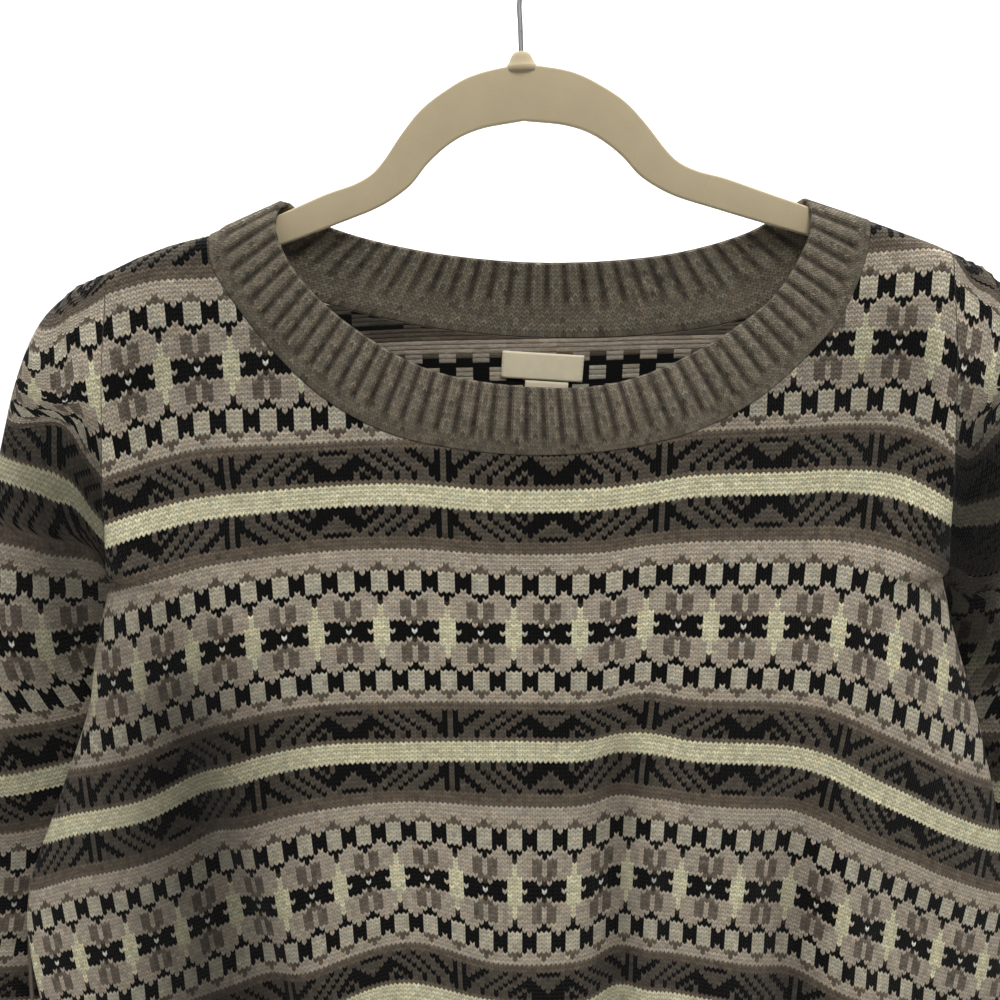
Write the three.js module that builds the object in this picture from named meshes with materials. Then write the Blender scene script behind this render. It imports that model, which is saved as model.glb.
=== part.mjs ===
// A round-neck fair isle jumper hanging on a flocked hanger, in millimetres, +Z up.
// The front faces -Y and +X is the viewer's right. Every table is measured from the centre of the
// hook's loop, and the whole group is lowered by the loop's inner radius, so that the origin is
// where the loop rests on its rail.
import * as THREE from "three";

// Cloth
const WALL = 2.6;
const BAND_WALL = 3.0;
const SEAM_GAP = 0.3;
const HALF_GAP = SEAM_GAP / 2;

// Where the garment sits on the arms
const FOLD_RADIUS = 9;
const SHOULDER_LINE = [
  { x: -223, z: -180.6 },
  { x: -215, z: -177.6 },
  { x: -167, z: -157.7 },
  { x: 12, z: -118 },
  { x: 192, z: -148.7 },
  { x: 228, z: -160.5 },
  { x: 237, z: -163.6 },
];
const ARMHOLE_LEFT = { top: { x: -223, z: -180.6 }, foot: { x: -234, z: -350 } };
const ARMHOLE_RIGHT = { top: { x: 237, z: -163.6 }, foot: { x: 247, z: -347 } };
const ARMHOLE_DEPTH = 17;
const ARMHOLE_ROUNDING = 60;

// Outline of the body below the underarms, and how far its panels stand off the hanger's plane
const BODY_OUTLINE = [
  { z: -350, left: -234, right: 247, front: 37, back: 22 },
  { z: -390, left: -245, right: 259, front: 37, back: 23 },
  { z: -430, left: -253, right: 273, front: 36, back: 24 },
  { z: -490, left: -276, right: 290, front: 35, back: 25 },
  { z: -545, left: -297, right: 301, front: 34, back: 26 },
  { z: -610, left: -304, right: 307, front: 33, back: 26 },
  { z: -700, left: -303, right: 308, front: 31, back: 25 },
  { z: -750, left: -298, right: 303, front: 28, back: 23 },
  { z: -812, left: -288, right: 293, front: 25, back: 21 },
];
const RIB_TOP_Z = -750;
const HEM_Z = -812;
const SIDE_ROUNDNESS = 2.5;
const CHEST_RISE = 170;
const ARMHOLE_BLEND = 0.7;

// The neck seam, from the left shoulder to the right one
const NECK_FRONT = [
  { x: -167, z: -157.7 },
  { x: -166, z: -172 },
  { x: -153, z: -194 },
  { x: -129, z: -222 },
  { x: -102, z: -245 },
  { x: -68, z: -262 },
  { x: -30, z: -270 },
  { x: 12, z: -273 },
  { x: 55, z: -270 },
  { x: 95, z: -261 },
  { x: 127, z: -246 },
  { x: 155, z: -224 },
  { x: 178, z: -198 },
  { x: 190, z: -168 },
  { x: 192, z: -148.7 },
];
const NECK_BACK = [
  { x: -167, z: -157.7 },
  { x: -157, z: -168 },
  { x: -128, z: -186 },
  { x: -82, z: -200 },
  { x: -35, z: -209 },
  { x: 20, z: -213 },
  { x: 78, z: -211 },
  { x: 128, z: -202 },
  { x: 166, z: -180 },
  { x: 184, z: -160 },
  { x: 192, z: -148.7 },
];
// The neckband's free edge: along the front from left to right, then back behind the hanger
const NECK_EDGE = [
  { x: -127, y: 0, z: -139.4 },
  { x: -131, y: -9, z: -149.5 },
  { x: -127, y: -13, z: -165 },
  { x: -113, y: -19, z: -185 },
  { x: -86, y: -25, z: -208 },
  { x: -46, y: -30, z: -229 },
  { x: 14, y: -33, z: -238 },
  { x: 56, y: -31, z: -235 },
  { x: 99, y: -26, z: -218 },
  { x: 138, y: -19, z: -191 },
  { x: 154, y: -13, z: -167 },
  { x: 159, y: -9, z: -150.3 },
  { x: 157, y: 0, z: -135.1 },
  { x: 150, y: 9, z: -142.6 },
  { x: 131, y: 13, z: -155 },
  { x: 88, y: 15, z: -167 },
  { x: 20, y: 16.5, z: -172 },
  { x: -44, y: 15, z: -167 },
  { x: -94, y: 13, z: -156 },
  { x: -117, y: 9, z: -146.6 },
];
const NECK_EDGE_RIGHT = 12;
const BAND_RISE = 0.5;
const BAND_BULGE = 1.6;
const BAND_ROWS = [0, 0.12, 0.17, 0.6, 1];

// Ribs, raised outside over a plain inside
const RIB_HEIGHT = 1.1;
const RIB_POINTS = 3;
const NECK_RIBS_FRONT = 44;
const NECK_RIBS_BACK = 30;
const HEM_RIBS = 58;
const CUFF_RIBS = 20;

// Sleeves: each row is a flattened ring from its outer fold to its inner fold, further back
// at the inner fold, which hangs behind the body
const SLEEVE_RINGS = [
  { outX: 22, outZ: -9, outY: 1, inX: 0.8, inZ: 0.5, inY: 1, depth: 17 },
  { outX: 43, outZ: -30, outY: 2, inX: 1.4, inZ: -0.5, inY: 3, depth: 18 },
  { outX: 59, outZ: -62, outY: 4, inX: 2.4, inZ: -3, inY: 6, depth: 19 },
  { outX: 73, outZ: -105, outY: 6, inX: 5.5, inZ: -11, inY: 12, depth: 19 },
  { outX: 92, outZ: -158, outY: 9, inX: 10, inZ: -28, inY: 23, depth: 18 },
  { outX: 112, outZ: -214, outY: 13, inX: 10, inZ: -58, inY: 35, depth: 17 },
  { outX: 126, outZ: -270, outY: 18, inX: -8, inZ: -100, inY: 43, depth: 16 },
  { outX: 137, outZ: -330, outY: 23, inX: -14, inZ: -158, inY: 45, depth: 15 },
  { outX: 143, outZ: -390, outY: 27, inX: -6, inZ: -220, inY: 46, depth: 15 },
  { outX: 146, outZ: -450, outY: 30, inX: 7, inZ: -281, inY: 46, depth: 14 },
  { outX: 145, outZ: -508, outY: 32, inX: 20, inZ: -339, inY: 45, depth: 13 },
];
const CUFF_TOP = { outX: 145, outZ: -508.7, outY: 32, inX: 20, inZ: -339.7, inY: 45, depth: 13 };
const CUFF_END = { outX: 136, outZ: -572, outY: 35, inX: 36, inZ: -403, inY: 45, depth: 12 };
const RING_FLATNESS = 2.3;
const RING_SIDES = 22;

// Folds, outward where the height is positive: a soft line from one point to another
const FRONT_FOLDS = [
  { x0: 55, z0: -400, x1: 59, z1: -600, width: 13, height: -7 },
  { x0: 71, z0: -395, x1: 78, z1: -620, width: 12, height: 6 },
  { x0: 156, z0: -430, x1: 174, z1: -735, width: 17, height: -9 },
  { x0: 184, z0: -450, x1: 214, z1: -735, width: 18, height: 6 },
  { x0: -214, z0: -392, x1: -146, z1: -590, width: 17, height: -7 },
  { x0: -178, z0: -408, x1: -112, z1: -640, width: 17, height: 5 },
  { x0: -57, z0: -560, x1: -60, z1: -745, width: 20, height: 7 },
  { x0: -12, z0: -570, x1: 2, z1: -745, width: 22, height: -6 },
  { x0: -222, z0: -345, x1: -160, z1: -302, width: 12, height: -4 },
  { x0: 236, z0: -342, x1: 170, z1: -300, width: 12, height: -4 },
  { x0: -236, z0: -560, x1: -222, z1: -745, width: 18, height: 6 },
];
const BACK_FOLDS = [
  { x0: -60, z0: -300, x1: -90, z1: -720, width: 22, height: 5 },
  { x0: -10, z0: -380, x1: -24, z1: -745, width: 20, height: -6 },
  { x0: 90, z0: -330, x1: 128, z1: -740, width: 24, height: 6 },
  { x0: 150, z0: -420, x1: 190, z1: -745, width: 18, height: -5 },
  { x0: -150, z0: -400, x1: -200, z1: -740, width: 20, height: -5 },
];

// Grid of each panel: the first rows are close together where the cloth turns over the arms
const TOP_ROWS = [0, 0.9, 3.4, 9, 22, 45, 75, 108, 142, 169.4];
const LOWER_ROWS = 10;
const SHOULDER_COLUMNS = 4;
const NECK_END_STEPS = [1, 3.6, 9, 18];

// Label sewn flat inside the back, with a smaller tab under it
const LABEL = { x: 15.5, z: -229, width: 47, height: 15.5, tilt: -3.5 };
const SIZE_TAB = { x: 17.5, z: -247.6, width: 25, height: 20, tilt: -3.5 };
const LABEL_THICKNESS = 0.8;
const LABEL_COLUMNS = 8;

// Hanger: half outlines from the middle out, the arms' ends rounded
const HANGER_TILT = 2.2;
const HANGER_THICKNESS = 5.5;
const HANGER_EDGE = 1.2;
const HANGER_TOP = [
  [10, -69.5], [28, -73.5], [42, -80.5], [55, -89.5], [66, -101.5], [76, -114.5], [82.5, -121], [92, -126],
  [108, -130.8], [130, -139.1], [222, -173.1],
];
const HANGER_UNDERSIDE = [
  [222, -184.5], [130, -155.5], [104, -147], [82, -139.5], [72, -134.5], [62, -127.5], [52, -116.5],
  [38, -106], [24, -100.5],
];
const HANGER_CROWN_Z = -97;
const COLLAR = { radius: 7.6, neck: 5.4, topZ: -62, baseZ: -69.2 };

// Hook: a wire whose stem rises straight from the knob and turns into an open loop
const WIRE_RADIUS = 1.4;
const LOOP_RADIUS = 16;
const STEM_POINTS = [
  [0, -61.7], [0, -48], [0, -37], [2.2, -30], [7.5, -23.5],
];
const LOOP_START = -40;
const LOOP_END = 205;
const LOOP_STEPS = 16;

const COLOURS = {
  knit: "#5f5850",
  rib: "#625c52",
  label: "#cdc0a0",
  flock: "#b2a587",
  steel: "#b9bbbd",
};

const clamp = (t) => Math.min(Math.max(t, 0), 1);
const mix = (a, b, t) => a + (b - a) * t;
const radians = THREE.MathUtils.degToRad;

// Smooth step from 0 to 1
function ease(t) {
  const c = clamp(t);
  return c * c * (3 - 2 * c);
}

// How far a quarter-round of this radius has turned out, at a distance h past its start
function turnOver(h, radius) {
  return radius * Math.sqrt(1 - (1 - clamp(h / radius)) ** 2);
}

// A smooth function through one column of a table that is sorted by its key
function column(rows, key, name) {
  const keys = rows.map((r) => r[key]);
  const values = rows.map((r) => r[name]);
  const slopes = values.map((_, i) => {
    const a = Math.max(i - 1, 0);
    const b = Math.min(i + 1, values.length - 1);
    return (values[b] - values[a]) / (keys[b] - keys[a]);
  });
  return (at) => {
    const down = keys[0] > keys[keys.length - 1];
    let i = keys.findIndex((k) => (down ? k < at : k > at)) - 1;
    if (i < 0) i = (down ? at > keys[0] : at < keys[0]) ? 0 : keys.length - 2;
    const span = keys[i + 1] - keys[i];
    const t = clamp((at - keys[i]) / span);
    const t2 = t * t;
    const t3 = t2 * t;
    return (
      (2 * t3 - 3 * t2 + 1) * values[i] +
      (t3 - 2 * t2 + t) * span * slopes[i] +
      (3 * t2 - 2 * t3) * values[i + 1] +
      (t3 - t2) * span * slopes[i + 1]
    );
  };
}

const bodyLeft = column(BODY_OUTLINE, "z", "left");
const bodyRight = column(BODY_OUTLINE, "z", "right");
const frontDepth = column(BODY_OUTLINE, "z", "front");
const backDepth = column(BODY_OUTLINE, "z", "back");

// Height of the shoulder fold over any x, straight between the table's points
function shoulderZ(x) {
  let i = 0;
  while (i < SHOULDER_LINE.length - 2 && SHOULDER_LINE[i + 1].x < x) i += 1;
  const [a, b] = [SHOULDER_LINE[i], SHOULDER_LINE[i + 1]];
  return mix(a.z, b.z, (x - a.x) / (b.x - a.x));
}

// Left or right limit of a panel at a height: the armhole above the underarm, the side seam below
function sideX(z, side) {
  const hole = side < 0 ? ARMHOLE_LEFT : ARMHOLE_RIGHT;
  if (z > hole.foot.z) return mix(hole.foot.x, hole.top.x, (z - hole.foot.z) / (hole.top.z - hole.foot.z));
  return side < 0 ? bodyLeft(z) : bodyRight(z);
}

function foldHeight(folds, x, z) {
  let sum = 0;
  for (const f of folds) {
    const dx = f.x1 - f.x0;
    const dz = f.z1 - f.z0;
    const along = ((x - f.x0) * dx + (z - f.z0) * dz) / (dx * dx + dz * dz);
    const across = ((x - f.x0) * dz - (z - f.z0) * dx) / Math.hypot(dx, dz);
    const fade = ease(along / 0.3) * ease((1.25 - along) / 0.25);
    sum += f.height * fade * Math.exp(-((across / f.width) ** 2));
  }
  return sum;
}

// How far a panel stands off the hanger's plane at x and z; at the armhole this is the sleeve's depth
function panelDepth(x, z, panel) {
  const middle = (sideX(z, -1) + sideX(z, 1)) / 2;
  const side = Math.sign(x - middle) || 1;
  const hole = side < 0 ? ARMHOLE_LEFT : ARMHOLE_RIGHT;
  const across = clamp((x - middle) / (sideX(z, side) - middle));
  const below = Math.max(shoulderZ(x) - z, 0);
  const above = Math.max(z - hole.foot.z, 0);
  const full = panel.depth(z) - FOLD_RADIUS;
  const chest = turnOver(below, FOLD_RADIUS) + full * ease(below / CHEST_RISE);
  const lateral = (1 - across ** SIDE_ROUNDNESS) ** (1 / SIDE_ROUNDNESS);
  const atHole = armholeDepth(below, above);
  const near = ease((across - ARMHOLE_BLEND) / (1 - ARMHOLE_BLEND));
  const kept = 1 - near * ease(above / ARMHOLE_ROUNDING);
  const folds = foldHeight(panel.folds, x, z) * lateral * ease(below / 60);
  return chest * lateral * kept + atHole * near + folds;
}

function armholeDepth(below, above) {
  const rest = ARMHOLE_DEPTH - FOLD_RADIUS;
  const fromTop = turnOver(below, FOLD_RADIUS) + rest * ease(below / ARMHOLE_ROUNDING);
  const fromFoot = turnOver(above, FOLD_RADIUS) + rest * ease(above / ARMHOLE_ROUNDING);
  return (fromTop * fromFoot) / ARMHOLE_DEPTH;
}

const FRONT = { depth: frontDepth, folds: FRONT_FOLDS, way: -1, neck: NECK_FRONT, neckColumns: 28 };
const BACK = { depth: backDepth, folds: BACK_FOLDS, way: 1, neck: NECK_BACK, neckColumns: 22 };

// A point on a panel's outer face, kept half a seam's gap from the other panel
function panelPoint(x, z, panel) {
  return new THREE.Vector3(x, panel.way * Math.max(panelDepth(x, z, panel), HALF_GAP), z);
}

// The outward normal of a panel's outer face, from its slopes
function panelNormal(x, z, panel) {
  const step = 0.25;
  const low = Math.min(z, shoulderZ(x) - step);
  const slopeX = (panelDepth(x + step, low, panel) - panelDepth(x - step, low, panel)) / (2 * step);
  const slopeZ = (panelDepth(x, low + step, panel) - panelDepth(x, low - step, panel)) / (2 * step);
  return new THREE.Vector3(-slopeX, panel.way, -slopeZ).normalize();
}

// Points along a table's smooth curve, close together at its ends, where it turns over the arms
function neckPoints(table, count) {
  const curve = new THREE.CatmullRomCurve3(table.map((p) => new THREE.Vector3(p.x, 0, p.z)));
  curve.arcLengthDivisions = 1000;
  const ends = NECK_END_STEPS.map((step) => step / curve.getLength());
  const from = ends[ends.length - 1];
  const evenCount = count - 2 * ends.length;
  const even = Array.from({ length: evenCount + 1 }, (_, i) => mix(from, 1 - from, i / evenCount));
  const shares = [0, ...ends.slice(0, -1), ...even, ...ends.slice(0, -1).reverse().map((t) => 1 - t), 1];
  return shares.map((share) => curve.getPointAt(share));
}

// The top edge of a panel: left shoulder, neck seam, right shoulder
function topEdge(panel) {
  const neck = neckPoints(panel.neck, panel.neckColumns);
  const from = ARMHOLE_LEFT.top.x;
  const to = ARMHOLE_RIGHT.top.x;
  const left = Array.from({ length: SHOULDER_COLUMNS }, (_, i) => mix(from, neck[0].x, i / SHOULDER_COLUMNS));
  const right = Array.from({ length: SHOULDER_COLUMNS }, (_, i) =>
    mix(neck[panel.neckColumns].x, to, (i + 1) / SHOULDER_COLUMNS),
  );
  const onFold = (x) => new THREE.Vector3(x, 0, shoulderZ(x));
  return [...left.map(onFold), ...neck, ...right.map(onFold)];
}

// A panel's outer points and their outward normals, row by row from the shoulders to the rib
function panelGrid(panel) {
  const top = topEdge(panel);
  const last = top.length - 1;
  const deepest = TOP_ROWS[TOP_ROWS.length - 1];
  const rows = [];
  TOP_ROWS.forEach((drop) => {
    const t = drop / deepest;
    rows.push(
      top.map((p, j) => {
        const u = j / last;
        const foot = mix(ARMHOLE_LEFT.foot.z, ARMHOLE_RIGHT.foot.z, u);
        const z = mix(p.z, foot, t);
        const evenX = mix(sideX(z, -1), sideX(z, 1), u);
        const x = j === 0 || j === last ? evenX : mix(p.x, evenX, ease(t * 0.85 + 0.15 * t * t));
        const edge = j === 0 || j === last;
        return gridPoint(x, z, panel, { edge, corner: t === 1, atTop: t === 0 });
      }),
    );
  });
  for (let i = 1; i <= LOWER_ROWS; i += 1) {
    rows.push(
      top.map((_, j) => {
        const u = j / last;
        const foot = mix(ARMHOLE_LEFT.foot.z, ARMHOLE_RIGHT.foot.z, u);
        const z = mix(foot, RIB_TOP_Z, i / LOWER_ROWS);
        return gridPoint(bodyX(z, u), z, panel, { edge: false, seam: j === 0 || j === last });
      }),
    );
  }
  return rows;
}

// Columns of the lower body crowd towards the sides, where the cloth turns
function bodyX(z, u) {
  const eased = (1 - Math.cos(Math.PI * u)) / 2;
  return mix(sideX(z, -1), sideX(z, 1), mix(u, eased, 0.3));
}

function gridPoint(x, z, panel, at) {
  const point = panelPoint(x, z, panel);
  const middle = (sideX(z, -1) + sideX(z, 1)) / 2;
  const outward = Math.sign(x - middle);
  const normal = panelNormal(x, z, panel);
  if (at.seam) normal.set(outward, 0, 0);
  if (at.edge) normal.copy(armholeNormal(z, panel, outward));
  if (at.edge && at.corner) normal.set(outward * 0.7, 0, -0.7);
  if (at.atTop && !at.edge && Math.abs(point.y) < 0.5) normal.setY(0).normalize();
  return { point, normal };
}

// Outward normal of the ring that the armhole and the sleeve share, inside that ring's plane
function armholeNormal(z, panel, outward) {
  const hole = outward < 0 ? ARMHOLE_LEFT : ARMHOLE_RIGHT;
  const step = 0.25;
  const at = (h) => armholeDepth(hole.top.z - h, h - hole.foot.z);
  const inside = Math.min(Math.max(z, hole.foot.z + step), hole.top.z - step);
  const slope = (at(inside + step) - at(inside - step)) / (2 * step);
  if (z >= hole.top.z - step) return new THREE.Vector3(0, 0, 1);
  if (z <= hole.foot.z + step) return new THREE.Vector3(0, 0, -1);
  return new THREE.Vector3(0, panel.way, -slope).normalize();
}

// A closed wall between a grid of outer points and the same grid moved in along its normals
function wall(grid, thickness, closed) {
  const outer = grid.map((row) => row.map((g) => g.point));
  const inner = grid.map((row) => row.map((g) => g.point.clone().addScaledVector(g.normal, -thickness)));
  return between(outer, inner, closed);
}

// A closed solid between two grids of points; closed says that the last column meets the first
function between(outer, inner, closed) {
  const rows = outer.length;
  const columns = outer[0].length;
  const positions = [...outer.flat(), ...inner.flat()].flatMap((p) => [p.x, p.y, p.z]);
  const at = (side, i, j) => side * rows * columns + i * columns + (j % columns);
  const faces = [];
  const quad = (a, b, c, d) => faces.push(a, b, c, a, c, d);
  const spans = closed ? columns : columns - 1;
  for (let i = 0; i < rows - 1; i += 1) {
    for (let j = 0; j < spans; j += 1) {
      quad(at(0, i, j), at(0, i + 1, j), at(0, i + 1, j + 1), at(0, i, j + 1));
      quad(at(1, i, j), at(1, i, j + 1), at(1, i + 1, j + 1), at(1, i + 1, j));
    }
  }
  for (let j = 0; j < spans; j += 1) {
    quad(at(0, 0, j), at(0, 0, j + 1), at(1, 0, j + 1), at(1, 0, j));
    quad(at(0, rows - 1, j), at(1, rows - 1, j), at(1, rows - 1, j + 1), at(0, rows - 1, j + 1));
  }
  if (!closed) {
    const end = columns - 1;
    for (let i = 0; i < rows - 1; i += 1) {
      quad(at(0, i, 0), at(1, i, 0), at(1, i + 1, 0), at(0, i + 1, 0));
      quad(at(0, i, end), at(0, i + 1, end), at(1, i + 1, end), at(1, i, end));
    }
  }
  return facingOut(positions, faces);
}

// Builds the geometry, turned round if its faces point in
function facingOut(positions, faces) {
  let volume = 0;
  const corner = (k) => new THREE.Vector3().fromArray(positions, faces[k] * 3);
  for (let k = 0; k < faces.length; k += 3) {
    volume += corner(k).dot(corner(k + 1).cross(corner(k + 2)));
  }
  if (volume < 0) {
    for (let k = 0; k < faces.length; k += 3) [faces[k + 1], faces[k + 2]] = [faces[k + 2], faces[k + 1]];
  }
  const geometry = new THREE.BufferGeometry();
  geometry.setAttribute("position", new THREE.Float32BufferAttribute(positions, 3));
  geometry.setIndex(faces);
  geometry.computeVertexNormals();
  return geometry;
}

// Outward normals of a grid whose columns close on themselves, from the points around each one
function ringNormals(rows) {
  const count = rows[0].length;
  return rows.map((row, i) =>
    row.map((p, j) => {
      const above = rows[Math.max(i - 1, 0)][j];
      const below = rows[Math.min(i + 1, rows.length - 1)][j];
      const before = row[(j + count - 1) % count];
      const after = row[(j + 1) % count];
      return after.clone().sub(before).cross(below.clone().sub(above)).normalize();
    }),
  );
}

// The raised share of a rib at column k: one low point, then high ones
function ribShare(k) {
  return k % RIB_POINTS === 0 ? 0 : 1;
}

// Neckband: a loop from the neck seam to the free edge, with ribs outside
function neckband() {
  const edge = new THREE.CatmullRomCurve3(
    NECK_EDGE.map((p) => new THREE.Vector3(p.x, p.y, p.z)),
    true,
  );
  const turn = NECK_EDGE_RIGHT / NECK_EDGE.length;
  const columns = [
    ...bandColumns(FRONT, NECK_RIBS_FRONT, (share) => share, (share) => curvePart(edge, 0, turn, share)),
    ...bandColumns(BACK, NECK_RIBS_BACK, (share) => 1 - share, (share) => curvePart(edge, turn, 1, share)),
  ];
  const base = BAND_ROWS.map((share) => columns.map((c) => bandPoint(c, share)));
  const normals = ringNormals(base);
  orientBand(normals);
  const offset = (distance) =>
    base.map((row, i) => row.map((p, k) => p.clone().addScaledVector(normals[i][k], distance(i, k))));
  const raised = offset((i, k) => BAND_RISE + (i < 2 ? 0 : ribShare(k) * RIB_HEIGHT));
  const plain = offset(() => BAND_RISE - BAND_WALL);
  raised[0] = columns.map((c) => besideSeam(c, 0));
  plain[0] = columns.map((c) => besideSeam(c, -WALL));
  return between(raised, plain, true);
}

// The band's columns along one panel, each with its place on the seam and on the free edge
function bandColumns(panel, ribs, seamShare, edgeAt) {
  const count = ribs * RIB_POINTS;
  const seam = neckSeam(panel);
  return Array.from({ length: count }, (_, k) => {
    const { point, normal } = seamAt(seam, seamShare(k / count));
    return { seam: point, normal, edge: edgeAt(k / count), panel };
  });
}

// The stretch of a panel's top row that the band is linked to
function neckSeam(panel) {
  return panelGrid(panel)[0].slice(SHOULDER_COLUMNS, SHOULDER_COLUMNS + panel.neckColumns + 1);
}

// The point and normal at a share of the seam's length, on the panel's own straight steps
function seamAt(seam, share) {
  const lengths = seam.slice(1).map((g, i) => g.point.distanceTo(seam[i].point));
  let left = share * lengths.reduce((sum, d) => sum + d, 0);
  let i = 0;
  while (i < lengths.length - 1 && left > lengths[i]) {
    left -= lengths[i];
    i += 1;
  }
  const t = Math.min(left / lengths[i], 1);
  return {
    point: seam[i].point.clone().lerp(seam[i + 1].point, t),
    normal: seam[i].normal.clone().lerp(seam[i + 1].normal, t),
  };
}

// A point on the band's first row, a seam's gap from the panel and level with its wall
function besideSeam(c, depth) {
  const way = c.edge.clone().sub(c.seam).normalize();
  return c.seam.clone().addScaledVector(c.normal, depth).addScaledVector(way, SEAM_GAP);
}

// A point at an even share of the stretch of a closed curve between two of its parameters
function curvePart(curve, from, to, share) {
  const steps = 400;
  if (!curve.lengthsFromStart) {
    const points = Array.from({ length: steps + 1 }, (_, i) => curve.getPoint(i / steps));
    curve.lengthsFromStart = points.reduce(
      (sums, p, i) => [...sums, i === 0 ? 0 : sums[i - 1] + p.distanceTo(points[i - 1])],
      [],
    );
  }
  const sums = curve.lengthsFromStart;
  const wanted = mix(sums[Math.round(from * steps)], sums[Math.round(to * steps)], share);
  let i = 0;
  while (i < steps - 1 && sums[i + 1] < wanted) i += 1;
  return curve.getPoint((i + (wanted - sums[i]) / (sums[i + 1] - sums[i])) / steps);
}

// A point across the band, which stands a little proud of a straight line between its two edges
function bandPoint(c, share) {
  const p = c.seam.clone().lerp(c.edge, share);
  const away = ease(Math.abs(c.seam.y) / 14);
  p.y += c.panel.way * BAND_BULGE * away * Math.sin(Math.PI * share);
  return p;
}

// Turns the band's normals out, away from the neck's hollow
function orientBand(normals) {
  const front = normals[1][NECK_RIBS_FRONT * 2];
  if (front.y > 0) normals.forEach((row) => row.forEach((n) => n.negate()));
}

// Ribbed hem of one panel
function hemRib(panel) {
  const count = HEM_RIBS * 2;
  const rows = [RIB_TOP_Z - SEAM_GAP, HEM_Z];
  const base = rows.map((z) =>
    Array.from({ length: count + 1 }, (_, k) => {
      const x = ribX(z, k / count);
      const { point, normal } = gridPoint(x, z, panel, { seam: k === 0 || k === count });
      return { point, normal: normal.setZ(0).normalize() };
    }),
  );
  const raised = base.map((row) =>
    row.map((g, k) => g.point.clone().addScaledVector(g.normal, k % 2 === 0 ? 0 : RIB_HEIGHT)),
  );
  const plain = base.map((row) => row.map((g) => g.point.clone().addScaledVector(g.normal, -WALL)));
  return between(raised, plain, false);
}

// Ribs crowd towards the sides as the lower columns do, so each is about as wide along the cloth
function ribX(z, u) {
  const eased = (1 - Math.cos(Math.PI * u)) / 2;
  return mix(sideX(z, -1), sideX(z, 1), mix(u, eased, 0.6));
}

// One flattened ring of a sleeve, from its table row, as points round it from the outer fold
function sleeveRing(row, side, sides) {
  const hole = side < 0 ? ARMHOLE_LEFT : ARMHOLE_RIGHT;
  const outer = new THREE.Vector3(hole.top.x + side * row.outX, row.outY, hole.top.z + row.outZ);
  const inner = new THREE.Vector3(hole.foot.x + side * row.inX, row.inY, hole.foot.z + row.inZ);
  return ovalRing(outer, inner, row.depth, sides);
}

function ovalRing(outer, inner, depth, sides) {
  const middle = outer.clone().lerp(inner, 0.5);
  const half = outer.clone().sub(inner).multiplyScalar(0.5);
  return Array.from({ length: sides }, (_, k) => {
    const angle = (2 * Math.PI * k) / sides;
    const along = Math.sign(Math.cos(angle)) * Math.abs(Math.cos(angle)) ** (2 / RING_FLATNESS);
    const across = Math.sign(Math.sin(angle)) * Math.abs(Math.sin(angle)) ** (2 / RING_FLATNESS);
    return middle.clone().addScaledVector(half, along).add(new THREE.Vector3(0, -depth * across, 0));
  });
}

// The sleeve's first ring lies in the armhole, a seam's gap outside the body
function armholeRing(side) {
  const hole = side < 0 ? ARMHOLE_LEFT : ARMHOLE_RIGHT;
  const middle = (hole.top.z + hole.foot.z) / 2;
  const half = (hole.top.z - hole.foot.z) / 2;
  return Array.from({ length: RING_SIDES }, (_, k) => {
    const angle = (2 * Math.PI * k) / RING_SIDES;
    const z = middle + half * Math.cos(angle);
    const x = sideX(Math.max(z, hole.foot.z + 0.01), side) + side * SEAM_GAP;
    const depth = armholeDepth(hole.top.z - z, z - hole.foot.z);
    return new THREE.Vector3(x, -Math.sign(Math.sin(angle)) * depth, z);
  });
}

function sleeve(side) {
  const rings = [armholeRing(side), ...SLEEVE_RINGS.map((row) => sleeveRing(row, side, RING_SIDES))];
  const normals = sleeveNormals(rings);
  normals[0] = rings[0].map((p) => {
    const panel = p.y < 0 ? FRONT : BACK;
    return armholeNormal(p.z, panel, side).setX(0).normalize();
  });
  normals[0][0].set(0, 0, 1);
  normals[0][RING_SIDES / 2].set(0, 0, -1);
  squareOff(normals, rings, rings.length - 1);
  return wall(
    rings.map((ring, i) => ring.map((point, k) => ({ point, normal: normals[i][k] }))),
    WALL,
    true,
  );
}

// Outward normals of a tube's rings, away from each ring's middle
function sleeveNormals(rings) {
  const normals = ringNormals(rings);
  return normals.map((row, i) => {
    const middle = rings[i].reduce((sum, p) => sum.add(p), new THREE.Vector3()).divideScalar(rings[i].length);
    return row.map((n, k) => (n.dot(rings[i][k].clone().sub(middle)) < 0 ? n.negate() : n));
  });
}

// Lays one ring's normals in the plane across the tube, so that the next piece meets it squarely
function squareOff(normals, rings, end) {
  const axis = rings[rings.length - 1][0].clone().sub(rings[rings.length - 2][0]).normalize();
  normals[end].forEach((n) => n.addScaledVector(axis, -n.dot(axis)).normalize());
}

// Ribbed cuff, closing in from the sleeve's end
function cuff(side) {
  const sides = CUFF_RIBS * 2;
  const rings = [sleeveRing(CUFF_TOP, side, sides), sleeveRing(CUFF_END, side, sides)];
  const normals = sleeveNormals(rings);
  squareOff(normals, rings, 0);
  const raised = rings.map((ring, i) =>
    ring.map((p, k) => p.clone().addScaledVector(normals[i][k], k % 2 === 0 ? 0 : RIB_HEIGHT)),
  );
  const plain = rings.map((ring, i) => ring.map((p, k) => p.clone().addScaledVector(normals[i][k], -WALL)));
  return between(raised, plain, true);
}

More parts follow.
